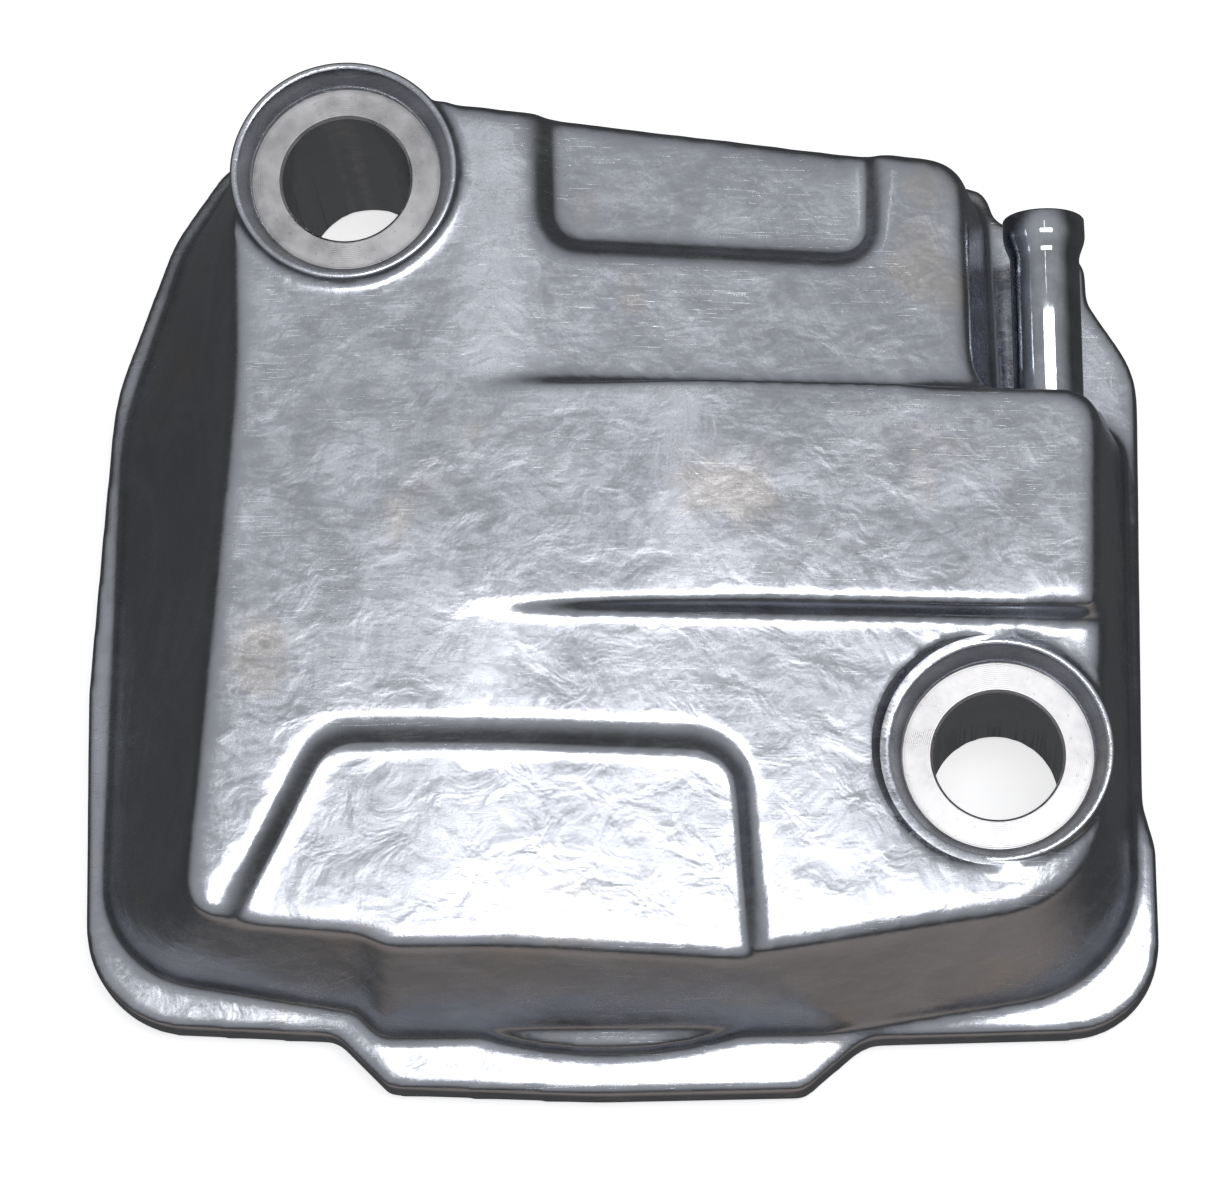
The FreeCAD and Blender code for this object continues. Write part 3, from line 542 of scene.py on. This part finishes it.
def rounding_weights(mesh):
    """How much each vertex may be rounded: fully on the roof's rim, hardly at the gasket face."""
    points = read_points(mesh) / MM
    rim = distance_to_loop(points, ROOF_EDGE)
    roof_detail = np.interp(rim, (3.0, 6.5), (1.0, 0.34))
    weight = np.where(points[:, 2] > LOWER_WALLS, roof_detail, 0.5)
    weight[points[:, 2] < FLANGE_ZONE] = 0.35
    for centre in (LEFT_BOLT, RIGHT_BOLT):
        away = np.hypot(points[:, 0] - centre.x / MM, points[:, 1] - centre.y / MM)
        weight[(away < SEAT_REACH) & (points[:, 2] > SEAT_ZONE)] = 0.12
    weight[points[:, 2] < FACE_ZONE] = 0.06
    return np.round(weight, 2)


def round_edges(target, steps, wobble):
    """Rounds the casting's edges and corners, then makes its walls gently uneven."""
    group = target.vertex_groups.new(name="round")
    weight = rounding_weights(target.data)
    for value in np.unique(weight):
        group.add(np.flatnonzero(weight == value).tolist(), float(value), "REPLACE")
    smooth = target.modifiers.new("round", "SMOOTH")
    smooth.factor = 0.5
    smooth.iterations = steps
    smooth.vertex_group = group.name
    clouds = bpy.data.textures.new("cast_wobble", "CLOUDS")
    clouds.noise_scale = 11 * MM
    clouds.noise_depth = 2
    uneven = target.modifiers.new("uneven", "DISPLACE")
    uneven.texture = clouds
    uneven.texture_coords = "LOCAL"
    uneven.strength = wobble
    uneven.mid_level = 0.5
    uneven.vertex_group = group.name
    bake_modifiers(target)
    bpy.data.textures.remove(clouds)
    target.vertex_groups.clear()


def plug_profile(settings, seat):
    """Section of the plug that closes a bore and fills its pocket while the casting is rounded."""
    foot = seat - 2 * MM
    radius = settings.lip_radius - 0.4 * MM
    top = seat + settings.lip_depth - 0.3 * MM
    return [(0, foot), (radius, foot), (radius, top), (0, top)]


def boss_profile(settings, seat):
    """Section of the solid boss that stands for a lip before it is turned out."""
    rim = seat + settings.lip_depth
    foot = seat - settings.boss_depth
    lip = settings.lip_radius
    return [(0, foot), (lip - 0.6 * MM, foot), (lip, foot + 0.6 * MM), (lip, rim - 0.35 * MM),
            (lip - 0.1 * MM, rim - 0.12 * MM), (lip - 0.3 * MM, rim), (0, rim)]


def seat_profile(settings, seat):
    """Section of the tool that turns a bore, its chamfer, the seat and the pocket, with its bands."""
    chamfer = settings.seat_chamfer
    rim = seat + settings.lip_depth
    pocket = settings.pocket_radius
    profile = [(0, -4 * MM), (BOLT_BORE + 4.5 * MM, -4 * MM), (BOLT_BORE, 0.5 * MM),
               (BOLT_BORE, seat - chamfer), (BOLT_BORE + chamfer, seat),
               (settings.seat_radius, seat)]
    bands = [0, 0, 0, 1, 1, 0]
    for across, up in ((0.16, 0.06), (0.34, 0.20), (0.55, 0.42), (0.75, 0.66), (0.90, 0.86)):
        profile.append((settings.seat_radius + (pocket - settings.seat_radius) * across,
                        seat + settings.lip_depth * up))
        bands.append(0)
    relief = settings.lip_radius + 0.25 * MM
    profile += [(pocket, rim - 0.1 * MM), (pocket + 0.2 * MM, rim + 0.001 * MM),
                (relief, rim + 0.001 * MM), (relief + 0.9 * MM, rim + 2.2 * MM),
                (relief + 2.0 * MM, rim + 9 * MM), (0, rim + 9 * MM)]
    bands += [0] * 6
    return profile, bands


def apply_boolean(target, tool, operation):
    """Joins or cuts a tool solid, with the tool's materials on the new faces."""
    change = target.modifiers.new(operation.lower(), "BOOLEAN")
    change.operation = operation
    change.object = tool
    change.material_mode = "TRANSFER"
    bake_modifiers(target)
    bpy.data.objects.remove(tool)


def join_meshes(name, parts):
    """One object out of several, all at the origin."""
    work = bmesh.new()
    for part in parts:
        work.from_mesh(part.data)
    mesh = bpy.data.meshes.new(name)
    work.to_mesh(mesh)
    work.free()
    for material in parts[0].data.materials:
        mesh.materials.append(material)
    for part in parts:
        bpy.data.objects.remove(part)
    return new_object(name, mesh)


class HEADCOVER_OT_casting(bpy.types.Operator):
    """Makes the die-cast cover: rounded cast body with crisp machined seats"""

    bl_idname = "headcover.casting"
    bl_label = "Casting"

    def execute(self, context):
        settings = context.scene.headcover_casting
        colours = context.scene.headcover_finish
        seats = ((LEFT_BOLT, LEFT_SEAT), (RIGHT_BOLT, RIGHT_SEAT))
        rough = merged_copy("cover_casting", "casting_copy")
        plugs = [lathe("plug", plug_profile(settings, seat), (centre.x, centre.y, 0), (0, 0, 1))
                 for centre, seat in seats]
        cast = join_meshes("cast_cover", [rough, *plugs])
        remesh = cast.modifiers.new("grid", "REMESH")
        remesh.mode = "VOXEL"
        remesh.voxel_size = settings.voxel
        bake_modifiers(cast)
        shape_roof(cast.data)
        round_edges(cast, settings.round_steps, settings.wobble)
        thin = cast.modifiers.new("thin", "DECIMATE")
        thin.ratio = min(1.0, settings.triangles / (2 * len(cast.data.polygons)))
        bake_modifiers(cast)
        cast_material = cast_finish(colours.cast)
        machined = machined_finish("turned_seat", colours.machined)
        cast.data.materials.append(cast_material)
        finishes = (cast_material, machined)
        bosses = [lathe("boss", boss_profile(settings, seat), (centre.x, centre.y, 0), (0, 0, 1),
                        TURNED_SEGMENTS, finishes) for centre, seat in seats]
        apply_boolean(cast, join_meshes("bosses", bosses), "UNION")
        cutters = []
        for centre, seat in seats:
            profile, bands = seat_profile(settings, seat)
            cutters.append(lathe("cutter", profile, (centre.x, centre.y, 0), (0, 0, 1),
                                 TURNED_SEGMENTS, finishes, bands))
        apply_boolean(cast, join_meshes("cutters", cutters), "DIFFERENCE")
        if len(cast.data.polygons) < settings.triangles // 4:
            raise RuntimeError("the casting lost its surface")
        store_curvature(cast.data, 3)
        shade(cast, 40)
        finish_piece(cast, COVER, "cast_aluminium", "cover_casting")
        return {"FINISHED"}


class HEADCOVER_OT_breather_tube(bpy.types.Operator):
    """Makes the bright plated breather tube with its bead"""

    bl_idname = "headcover.breather_tube"
    bl_label = "Breather tube"

    def execute(self, context):
        low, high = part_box("breather_tube")
        outer = SPIGOT_DIMS["r_mm"] * MM
        bead = (high.x - low.x) / 2
        bore = outer - 0.9 * MM
        lip = 0.45 * MM
        root = low.y - SPIGOT.y
        end = high.y - SPIGOT.y
        profile = [(bore, root), (outer - 0.2 * MM, root), (outer, root + 0.3 * MM)]
        for step in range(9):
            share = step / 8
            lift = (1 - math.cos(math.pi * share)) / 2
            profile.append((outer + (bead - outer) * lift, end - (5.2 - 3.0 * share) * MM))
        for step in range(1, 9):
            angle = math.pi * step / 8
            profile.append((bead - lip + lip * math.cos(angle), end - lip + lip * math.sin(angle)))
        profile += [(bore + 0.25 * MM, end - 1.2 * MM), (bore, end - 4 * MM)]
        finish = metal_finish("plating", context.scene.headcover_finish.plating, 0.055, 0.5 * MM,
                              (1, 0.15, 1), 0.15)
        tube = lathe("plated_tube", profile, SPIGOT, (0, 1, 0), 96, [finish])
        shade(tube, 40)
        finish_piece(tube, COVER, "plated_steel", "breather_tube")
        return {"FINISHED"}


class HEADCOVER_OT_carried_over(bpy.types.Operator):
    """Gives the CAD parts that keep their shape their finishes"""

    bl_idname = "headcover.carried_over"
    bl_label = "Parts kept from the frame"

    def execute(self, context):
        colours = context.scene.headcover_finish
        steel = metal_finish("pressed_steel", colours.steel, 0.32, 0.3 * MM, (0.2, 1, 1))
        zinc = metal_finish("zinc_plating", colours.zinc, 0.26, 0.25 * MM)
        spring = metal_finish("spring_steel", colours.spring, 0.18, 0.3 * MM, (0.1, 1, 1))
        brass = metal_finish("brass", colours.brass, 0.22, 0.3 * MM, (1, 1, 0.2))
        rubber = dull_finish("seal_rubber", colours.rubber, 0.55, 0.3 * MM, 0.02 * MM)
        fibre = dull_finish("gasket_sheet", colours.fibre, 0.75, 0.25 * MM, 0.03 * MM)
        finishes = {
            "cover_gasket": rubber, "floor_plate": steel, "floor_gasket": fibre, "floor_washers": zinc,
            "reed_petal": spring, "reed_root": spring, "reed_stop": steel, "reed_screw": zinc,
            "reed_nut": zinc, "mesh_holder": steel, "splash_shield": steel, "oil_drain_tube": brass,
        }
        for name, finish in finishes.items():
            carried = frame["nodes"][name]
            for slot in carried.material_slots:
                slot.material = finish
        return {"FINISHED"}


# ---------------------------------------------------------------- fasteners and wire by geometry nodes
def geometry_tree(name, sizes):
    """A geometry tree with its points, sizes and material as named inputs."""
    tree = bpy.data.node_groups.new(name, "GeometryNodeTree")
    tree.interface.new_socket("Points", in_out="INPUT", socket_type="NodeSocketGeometry")
    for label, default in sizes.items():
        kind = "NodeSocketInt" if isinstance(default, int) else "NodeSocketFloat"
        tree.interface.new_socket(label, in_out="INPUT", socket_type=kind).default_value = default
    tree.interface.new_socket("Material", in_out="INPUT", socket_type="NodeSocketMaterial")
    tree.interface.new_socket("Geometry", in_out="OUTPUT", socket_type="NodeSocketGeometry")
    return tree, node(tree, "NodeGroupInput").outputs


def close_tree(tree, source, geometry):
    """Ends a tree: real geometry with its material."""
    real = node(tree, "GeometryNodeRealizeInstances", {"Geometry": geometry})
    painted = node(tree, "GeometryNodeSetMaterial", {
        "Geometry": real.outputs["Geometry"], "Material": source["Material"]})
    node(tree, "NodeGroupOutput", {"Geometry": painted.outputs["Geometry"]})


def solid_of(tree, operation, first, *others):
    """A boolean of solids inside a tree."""
    made = node(tree, "GeometryNodeMeshBoolean", operation=operation)
    if operation == "DIFFERENCE":
        tree.links.new(first, made.inputs["Mesh 1"])
        others_in = made.inputs["Mesh 2"]
    else:
        others_in = made.inputs["Mesh 2"]
        tree.links.new(first, others_in)
    for other in others:
        tree.links.new(other, others_in)
    return made.outputs["Mesh"]


def placed(tree, geometry, scale=None, shift=None):
    """Geometry scaled and moved; each is a vector of values or sockets."""
    inputs = {"Geometry": geometry}
    for key, parts in (("Scale", scale), ("Translation", shift)):
        if parts:
            vector = node(tree, "ShaderNodeCombineXYZ", dict(zip("XYZ", parts)))
            inputs[key] = vector.outputs["Vector"]
    return node(tree, "GeometryNodeTransform", inputs).outputs["Geometry"]


def round_bar(tree, radius, length, middle):
    """A cylinder along Z about a middle height."""
    bar = node(tree, "GeometryNodeMeshCylinder", {"Vertices": 40, "Radius": radius, "Depth": length})
    return placed(tree, bar.outputs["Mesh"], shift=(0.0, 0.0, middle))


def dome(tree, radius, height, middle):
    """A flattened ball about a middle height."""
    ball = node(tree, "GeometryNodeMeshUVSphere", {"Segments": 40, "Rings": 20, "Radius": 1.0})
    return placed(tree, ball.outputs["Mesh"], (radius, radius, height), (0.0, 0.0, middle))


def scatter(tree, source, solid):
    """A solid at each point, each turned by its own random angle."""
    angle = node(tree, "FunctionNodeRandomValue", {"Seed": source["Seed"]}, data_type="FLOAT")
    angle.inputs[3].default_value = math.pi
    turn = node(tree, "ShaderNodeCombineXYZ", {"Z": angle.outputs[1]})
    return node(tree, "GeometryNodeInstanceOnPoints", {
        "Points": source["Points"], "Instance": solid, "Rotation": turn.outputs["Vector"],
    }).outputs["Instances"]


def pan_screw_tree():
    """Cross-head pan screws, heads down: the point is under the head."""
    tree, source = geometry_tree("pan_screws", {
        "Head radius": 3.6 * MM, "Head height": 2.4 * MM, "Shank radius": 2.0 * MM,
        "Shank length": 11.0 * MM, "Cross width": 0.85 * MM, "Cross depth": 1.3 * MM, "Seed": 3})
    height, radius = source["Head height"], source["Head radius"]
    half_down = maths(tree, "MULTIPLY", height, -0.5)
    head = solid_of(tree, "INTERSECT", round_bar(tree, radius, height, half_down),
                    dome(tree, maths(tree, "MULTIPLY", radius, 1.1), height, 0.0))
    arms = []
    span = maths(tree, "MULTIPLY", radius, 1.15)
    low = maths(tree, "MULTIPLY", height, -1.0)
    for size in ((span, source["Cross width"]), (source["Cross width"], span)):
        bar = node(tree, "GeometryNodeMeshCube").outputs["Mesh"]
        depth = maths(tree, "MULTIPLY", source["Cross depth"], 2.0)
        arms.append(placed(tree, bar, (*size, depth), (0.0, 0.0, low)))
    head = solid_of(tree, "DIFFERENCE", head, *arms)
    length = source["Shank length"]
    overlap = maths(tree, "ADD", length, 0.2 * MM)
    shank = round_bar(tree, source["Shank radius"], overlap,
                      maths(tree, "SUBTRACT", maths(tree, "MULTIPLY", overlap, 0.5), 0.2 * MM))
    close_tree(tree, source, scatter(tree, source, solid_of(tree, "UNION", head, shank)))
    return tree


def rivet_tree():
    """Blind rivets with a domed head at each end: the point is the lower end."""
    tree, source = geometry_tree("rivets", {
        "Head radius": 2.2 * MM, "Head height": 0.9 * MM, "Shank radius": 1.5 * MM,
        "Length": 3.8 * MM, "Seed": 5})
    radius, height, length = source["Head radius"], source["Head height"], source["Length"]
    upper = maths(tree, "SUBTRACT", length, height)
    heads = solid_of(tree, "UNION", dome(tree, radius, height, height), dome(tree, radius, height, upper))
    middle = maths(tree, "MULTIPLY", length, 0.5)
    grip = maths(tree, "SUBTRACT", length, maths(tree, "MULTIPLY", height, 2.0))
    heads = solid_of(tree, "DIFFERENCE", heads,
                     round_bar(tree, maths(tree, "MULTIPLY", radius, 1.2), grip, middle))
    shank = round_bar(tree, source["Shank radius"], maths(tree, "ADD", grip, 0.2 * MM), middle)
    pin = solid_of(tree, "DIFFERENCE", solid_of(tree, "UNION", heads, shank),
                   round_bar(tree, maths(tree, "MULTIPLY", radius, 0.28), height,
                             maths(tree, "MULTIPLY", height, 0.1)))
    close_tree(tree, source, scatter(tree, source, pin))
    return tree


def wavy_wire_tree():
    """Wavy wires along Y from each point, as in one layer of a knitted pad."""
    tree, source = geometry_tree("wavy_wires", {
        "Length": 17.0 * MM, "Wire radius": 0.11 * MM, "Loop pitch": 2.2 * MM,
        "Loop height": 0.42 * MM})
    end = node(tree, "ShaderNodeCombineXYZ", {"Y": source["Length"]})
    line = node(tree, "GeometryNodeCurvePrimitiveLine", {"End": end.outputs["Vector"]})
    fine = node(tree, "GeometryNodeResampleCurve", {"Curve": line.outputs["Curve"], "Count": 46})
    wires = node(tree, "GeometryNodeInstanceOnPoints", {
        "Points": source["Points"], "Instance": fine.outputs["Curve"]})
    real = node(tree, "GeometryNodeRealizeInstances", {"Geometry": wires.outputs["Instances"]})
    place = node(tree, "GeometryNodeInputPosition").outputs["Position"]
    parts = node(tree, "ShaderNodeSeparateXYZ", {"Vector": place}).outputs
    across = maths(tree, "MULTIPLY", maths(tree, "ADD", parts["X"], parts["Z"]), 2.3)
    phase = maths(tree, "DIVIDE", maths(tree, "ADD", parts["Y"], across), source["Loop pitch"])
    angle = maths(tree, "MULTIPLY", phase, 2 * math.pi)
    swing = maths(tree, "MULTIPLY", maths(tree, "SINE", angle), source["Loop height"])
    lift = maths(tree, "MULTIPLY", maths(tree, "COSINE", angle), source["Loop height"])
    offset = node(tree, "ShaderNodeCombineXYZ", {"X": swing, "Z": lift}).outputs["Vector"]
    moved = node(tree, "GeometryNodeSetPosition", {"Geometry": real.outputs["Geometry"], "Offset": offset})
    ring = node(tree, "GeometryNodeCurvePrimitiveCircle", {"Resolution": 5, "Radius": source["Wire radius"]})
    wire = node(tree, "GeometryNodeCurveToMesh", {
        "Curve": moved.outputs["Geometry"], "Profile Curve": ring.outputs["Curve"], "Fill Caps": True})
    close_tree(tree, source, wire.outputs["Mesh"])
    return tree


def grow(name, tree, points, material, **sizes):
    """A plain mesh grown by a tree from points; a size's underscores stand for spaces."""
    mesh = bpy.data.meshes.new(name)
    mesh.from_pydata([tuple(point) for point in points], [], [])
    target = new_object(name, mesh)
    grower = target.modifiers.new(name, "NODES")
    grower.node_group = tree
    values = {key.replace("_", " "): value for key, value in sizes.items()}
    values["Material"] = material
    for item in tree.interface.items_tree:
        if item.in_out == "INPUT" and item.name in values:
            grower[item.identifier] = values[item.name]
    bake_modifiers(target)
    if not target.data.polygons:
        raise RuntimeError(name + " grew no faces")
    return target


FLOOR_SCREWS = ((-15.0, -8.5), (18.0, -8.5), (50.5, -8.5), (-15.0, 19.5), (30.0, 19.5))
SHIELD_RIVETS = ((-8.0, 5.6), (30.0, 5.6))
HOLDER_RIVETS = ((39.0, -1.0), (39.0, 12.2))


def plan_points(places, height):
    """Points at one height from plan positions in mm."""
    return [(x * MM, y * MM, height) for x, y in places]


class HEADCOVER_OT_fasteners(bpy.types.Operator):
    """Makes the cross-head floor screws and the rivets"""

    bl_idname = "headcover.fasteners"
    bl_label = "Screws and rivets"

    def execute(self, context):
        colours = context.scene.headcover_finish
        zinc = metal_finish("screw_zinc", colours.zinc, 0.24, 0.25 * MM)
        alloy = metal_finish("rivet_alloy", scaled(colours.machined, 0.9), 0.3)
        low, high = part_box("floor_screws")
        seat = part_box("floor_washers")[0].z
        screws = grow("cross_head_screws", pan_screw_tree(), plan_points(FLOOR_SCREWS, seat), zinc,
                      Head_height=seat - low.z, Shank_length=high.z - seat,
                      Head_radius=FLOOR_SCREWS[0][0] * MM - low.x)
        shade(screws, 30)
        finish_piece(screws, COVER, "zinc_steel", "floor_screws")
        tree = rivet_tree()
        for name, node_name, places in (("holder_rivet_pair", "holder_rivets", HOLDER_RIVETS),
                                        ("shield_rivet_pair", "shield_rivets", SHIELD_RIVETS)):
            low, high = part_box(node_name)
            rivets = grow(name, tree, plan_points(places, low.z), alloy,
                          Length=high.z - low.z, Head_radius=places[0][0] * MM - low.x)
            shade(rivets, 30)
            finish_piece(rivets, COVER, "rivet_aluminium", node_name)
        return {"FINISHED"}


class HEADCOVER_OT_separator(bpy.types.Operator):
    """Makes the knitted wire pad that catches oil mist"""

    bl_idname = "headcover.separator"
    bl_label = "Knitted separator"

    def execute(self, context):
        colours = context.scene.headcover_finish
        wire = metal_finish("knitted_wire", colours.steel, 0.25, 0.2 * MM)
        low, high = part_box("separator_mesh")
        inset = 0.6 * MM
        points = []
        for x in np.linspace(low.x + inset, high.x - inset, 10):
            for z in np.linspace(low.z + inset, high.z - inset, 12):
                points.append((x, low.y + 0.05 * MM, z))
        pad = grow("knitted_separator", wavy_wire_tree(), points, wire,
                   Length=high.y - low.y - 0.1 * MM)
        shade(pad, 60)
        finish_piece(pad, COVER, "wire_mesh", "separator_mesh")
        return {"FINISHED"}


# ---------------------------------------------------------------- stage
CAMERA_PLACE = Vector((28.16, -165.18, 648.72)) * MM
CAMERA_BACK = Vector((0.04232, -0.25021, 0.96727))  # from what it looks at to the camera
CAMERA_ROLL = math.radians(-0.8)
CAMERA_LENS = 167.3
FLOOR_HALF = 1.2
FLOOR_DROP = 0.2 * MM  # keeps the floor just clear of the gasket face


def area_light(name, place, target, size, power):
    """A soft rectangular light aimed at a point, its width along X."""
    lamp = bpy.data.lights.new(name, "AREA")
    lamp.shape = "RECTANGLE"
    lamp.size, lamp.size_y = size
    lamp.energy = power
    made = bpy.data.objects.new(name, lamp)
    away = (Vector(place) - Vector(target)).normalized()
    depth = away.cross(Vector((1, 0, 0))).normalized()
    matrix = Matrix((depth.cross(away), depth, away)).transposed().to_4x4()
    matrix.translation = place
    made.matrix_world = matrix
    bpy.context.scene.collection.objects.link(made)


def long_lens_camera():
    """Long-lens camera above the front edge, a little to the right."""
    data = bpy.data.cameras.new("camera")
    data.sensor_width = 36.0
    data.lens = CAMERA_LENS
    data.clip_start = 0.05
    camera = bpy.data.objects.new("camera", data)
    back = CAMERA_BACK.normalized()
    right = Vector((0, 1, 0)).cross(back).normalized()
    up = back.cross(right)
    side = right * math.cos(CAMERA_ROLL) + up * math.sin(CAMERA_ROLL)
    top = up * math.cos(CAMERA_ROLL) - right * math.sin(CAMERA_ROLL)
    matrix = Matrix((side, top, back)).transposed().to_4x4()
    matrix.translation = CAMERA_PLACE
    camera.matrix_world = matrix
    bpy.context.scene.collection.objects.link(camera)
    bpy.context.scene.camera = camera


def studio_world():
    """Soft surroundings: bright overhead, darker near the horizon."""
    world = bpy.data.worlds.new("studio")
    world.use_nodes = True
    tree = world.node_tree
    tree.nodes.clear()
    direction = node(tree, "ShaderNodeTexCoord").outputs["Generated"]
    parts = node(tree, "ShaderNodeSeparateXYZ", {"Vector": direction}).outputs
    up = parts["Z"]
    front = parts["Y"]
    level = ramp(tree, up, 0.1, 0.97, 0.07, 0.50)
    colour = mix_colour(tree, level, (0.0, 0.0, 0.0), (0.96, 0.98, 1.0))
    table = maths(tree, "MULTIPLY", ramp(tree, front, -0.25, -0.8), ramp(tree, up, 0.1, -0.3))
    colour = mix_colour(tree, maths(tree, "MULTIPLY", table, 0.9), colour, (0.34, 0.30, 0.27))
    surface = node(tree, "ShaderNodeBackground", {"Color": colour, "Strength": 1.0})
    node(tree, "ShaderNodeOutputWorld", {"Surface": surface.outputs["Background"]})
    bpy.context.scene.world = world


class HEADCOVER_OT_stage(bpy.types.Operator):
    """Sets the pale floor, the soft lights, the surroundings and the camera"""

    bl_idname = "headcover.stage"
    bl_label = "Stage"

    def execute(self, context):
        corners = [(across * FLOOR_HALF, along * FLOOR_HALF, 0)
                   for across, along in ((-1, -1), (1, -1), (1, 1), (-1, 1))]
        mesh = bpy.data.meshes.new("floor")
        mesh.from_pydata(corners, [], [(0, 1, 2, 3)])
        floor = new_object("floor", mesh)
        floor.location.z = -FLOOR_DROP
        material, _, surface = new_material("floor")
        surface.inputs["Base Color"].default_value = (0.80, 0.80, 0.81, 1)
        surface.inputs["Roughness"].default_value = 0.8
        surface.inputs["Emission Color"].default_value = (1.0, 1.0, 1.0, 1)
        surface.inputs["Emission Strength"].default_value = 0.66
        mesh.materials.append(material)
        floor.visible_glossy = False
        area_light("key", (0.12, -0.012, 0.75), (0, 0, 0.02), (0.46, 0.20), 1.60)
        area_light("strip", (0.062, 0.25, 0.72), (0.05, 0.03, 0.02), (0.02, 0.26), 0.035)
        context.scene.view_settings.view_transform = "Standard"
        studio_world()
        long_lens_camera()
        return {"FINISHED"}


class HEADCOVER_PT_panel(bpy.types.Panel):
    """Lists the operators that build the cover"""

    bl_label = "Head Cover"
    bl_idname = "HEADCOVER_PT_panel"
    bl_space_type = "VIEW_3D"
    bl_region_type = "UI"
    bl_category = "Head Cover"

    def draw(self, context):
        for operator in OPERATORS:
            self.layout.operator(operator.bl_idname)
        for group in (context.scene.headcover_casting, context.scene.headcover_finish):
            for key in group.__annotations__:
                self.layout.prop(group, key)


OPERATORS = (
    HEADCOVER_OT_casting,
    HEADCOVER_OT_breather_tube,
    HEADCOVER_OT_fasteners,
    HEADCOVER_OT_separator,
    HEADCOVER_OT_carried_over,
    HEADCOVER_OT_stage,
)
CLASSES = (CastingSettings, FinishSettings, *OPERATORS, HEADCOVER_PT_panel)


def register():
    """Registers the classes and their settings on the scene."""
    for item in CLASSES:
        bpy.utils.register_class(item)
    bpy.types.Scene.headcover_casting = PointerProperty(type=CastingSettings)
    bpy.types.Scene.headcover_finish = PointerProperty(type=FinishSettings)


def unregister():
    """Takes the classes and their settings away again."""
    del bpy.types.Scene.headcover_finish
    del bpy.types.Scene.headcover_casting
    for item in reversed(CLASSES):
        bpy.utils.unregister_class(item)


def main():
    """Builds every piece, then the stage."""
    register()
    for operator in OPERATORS:
        category, action = operator.bl_idname.split(".")
        getattr(getattr(bpy.ops, category), action)()


if __name__ == "__main__":
    main()
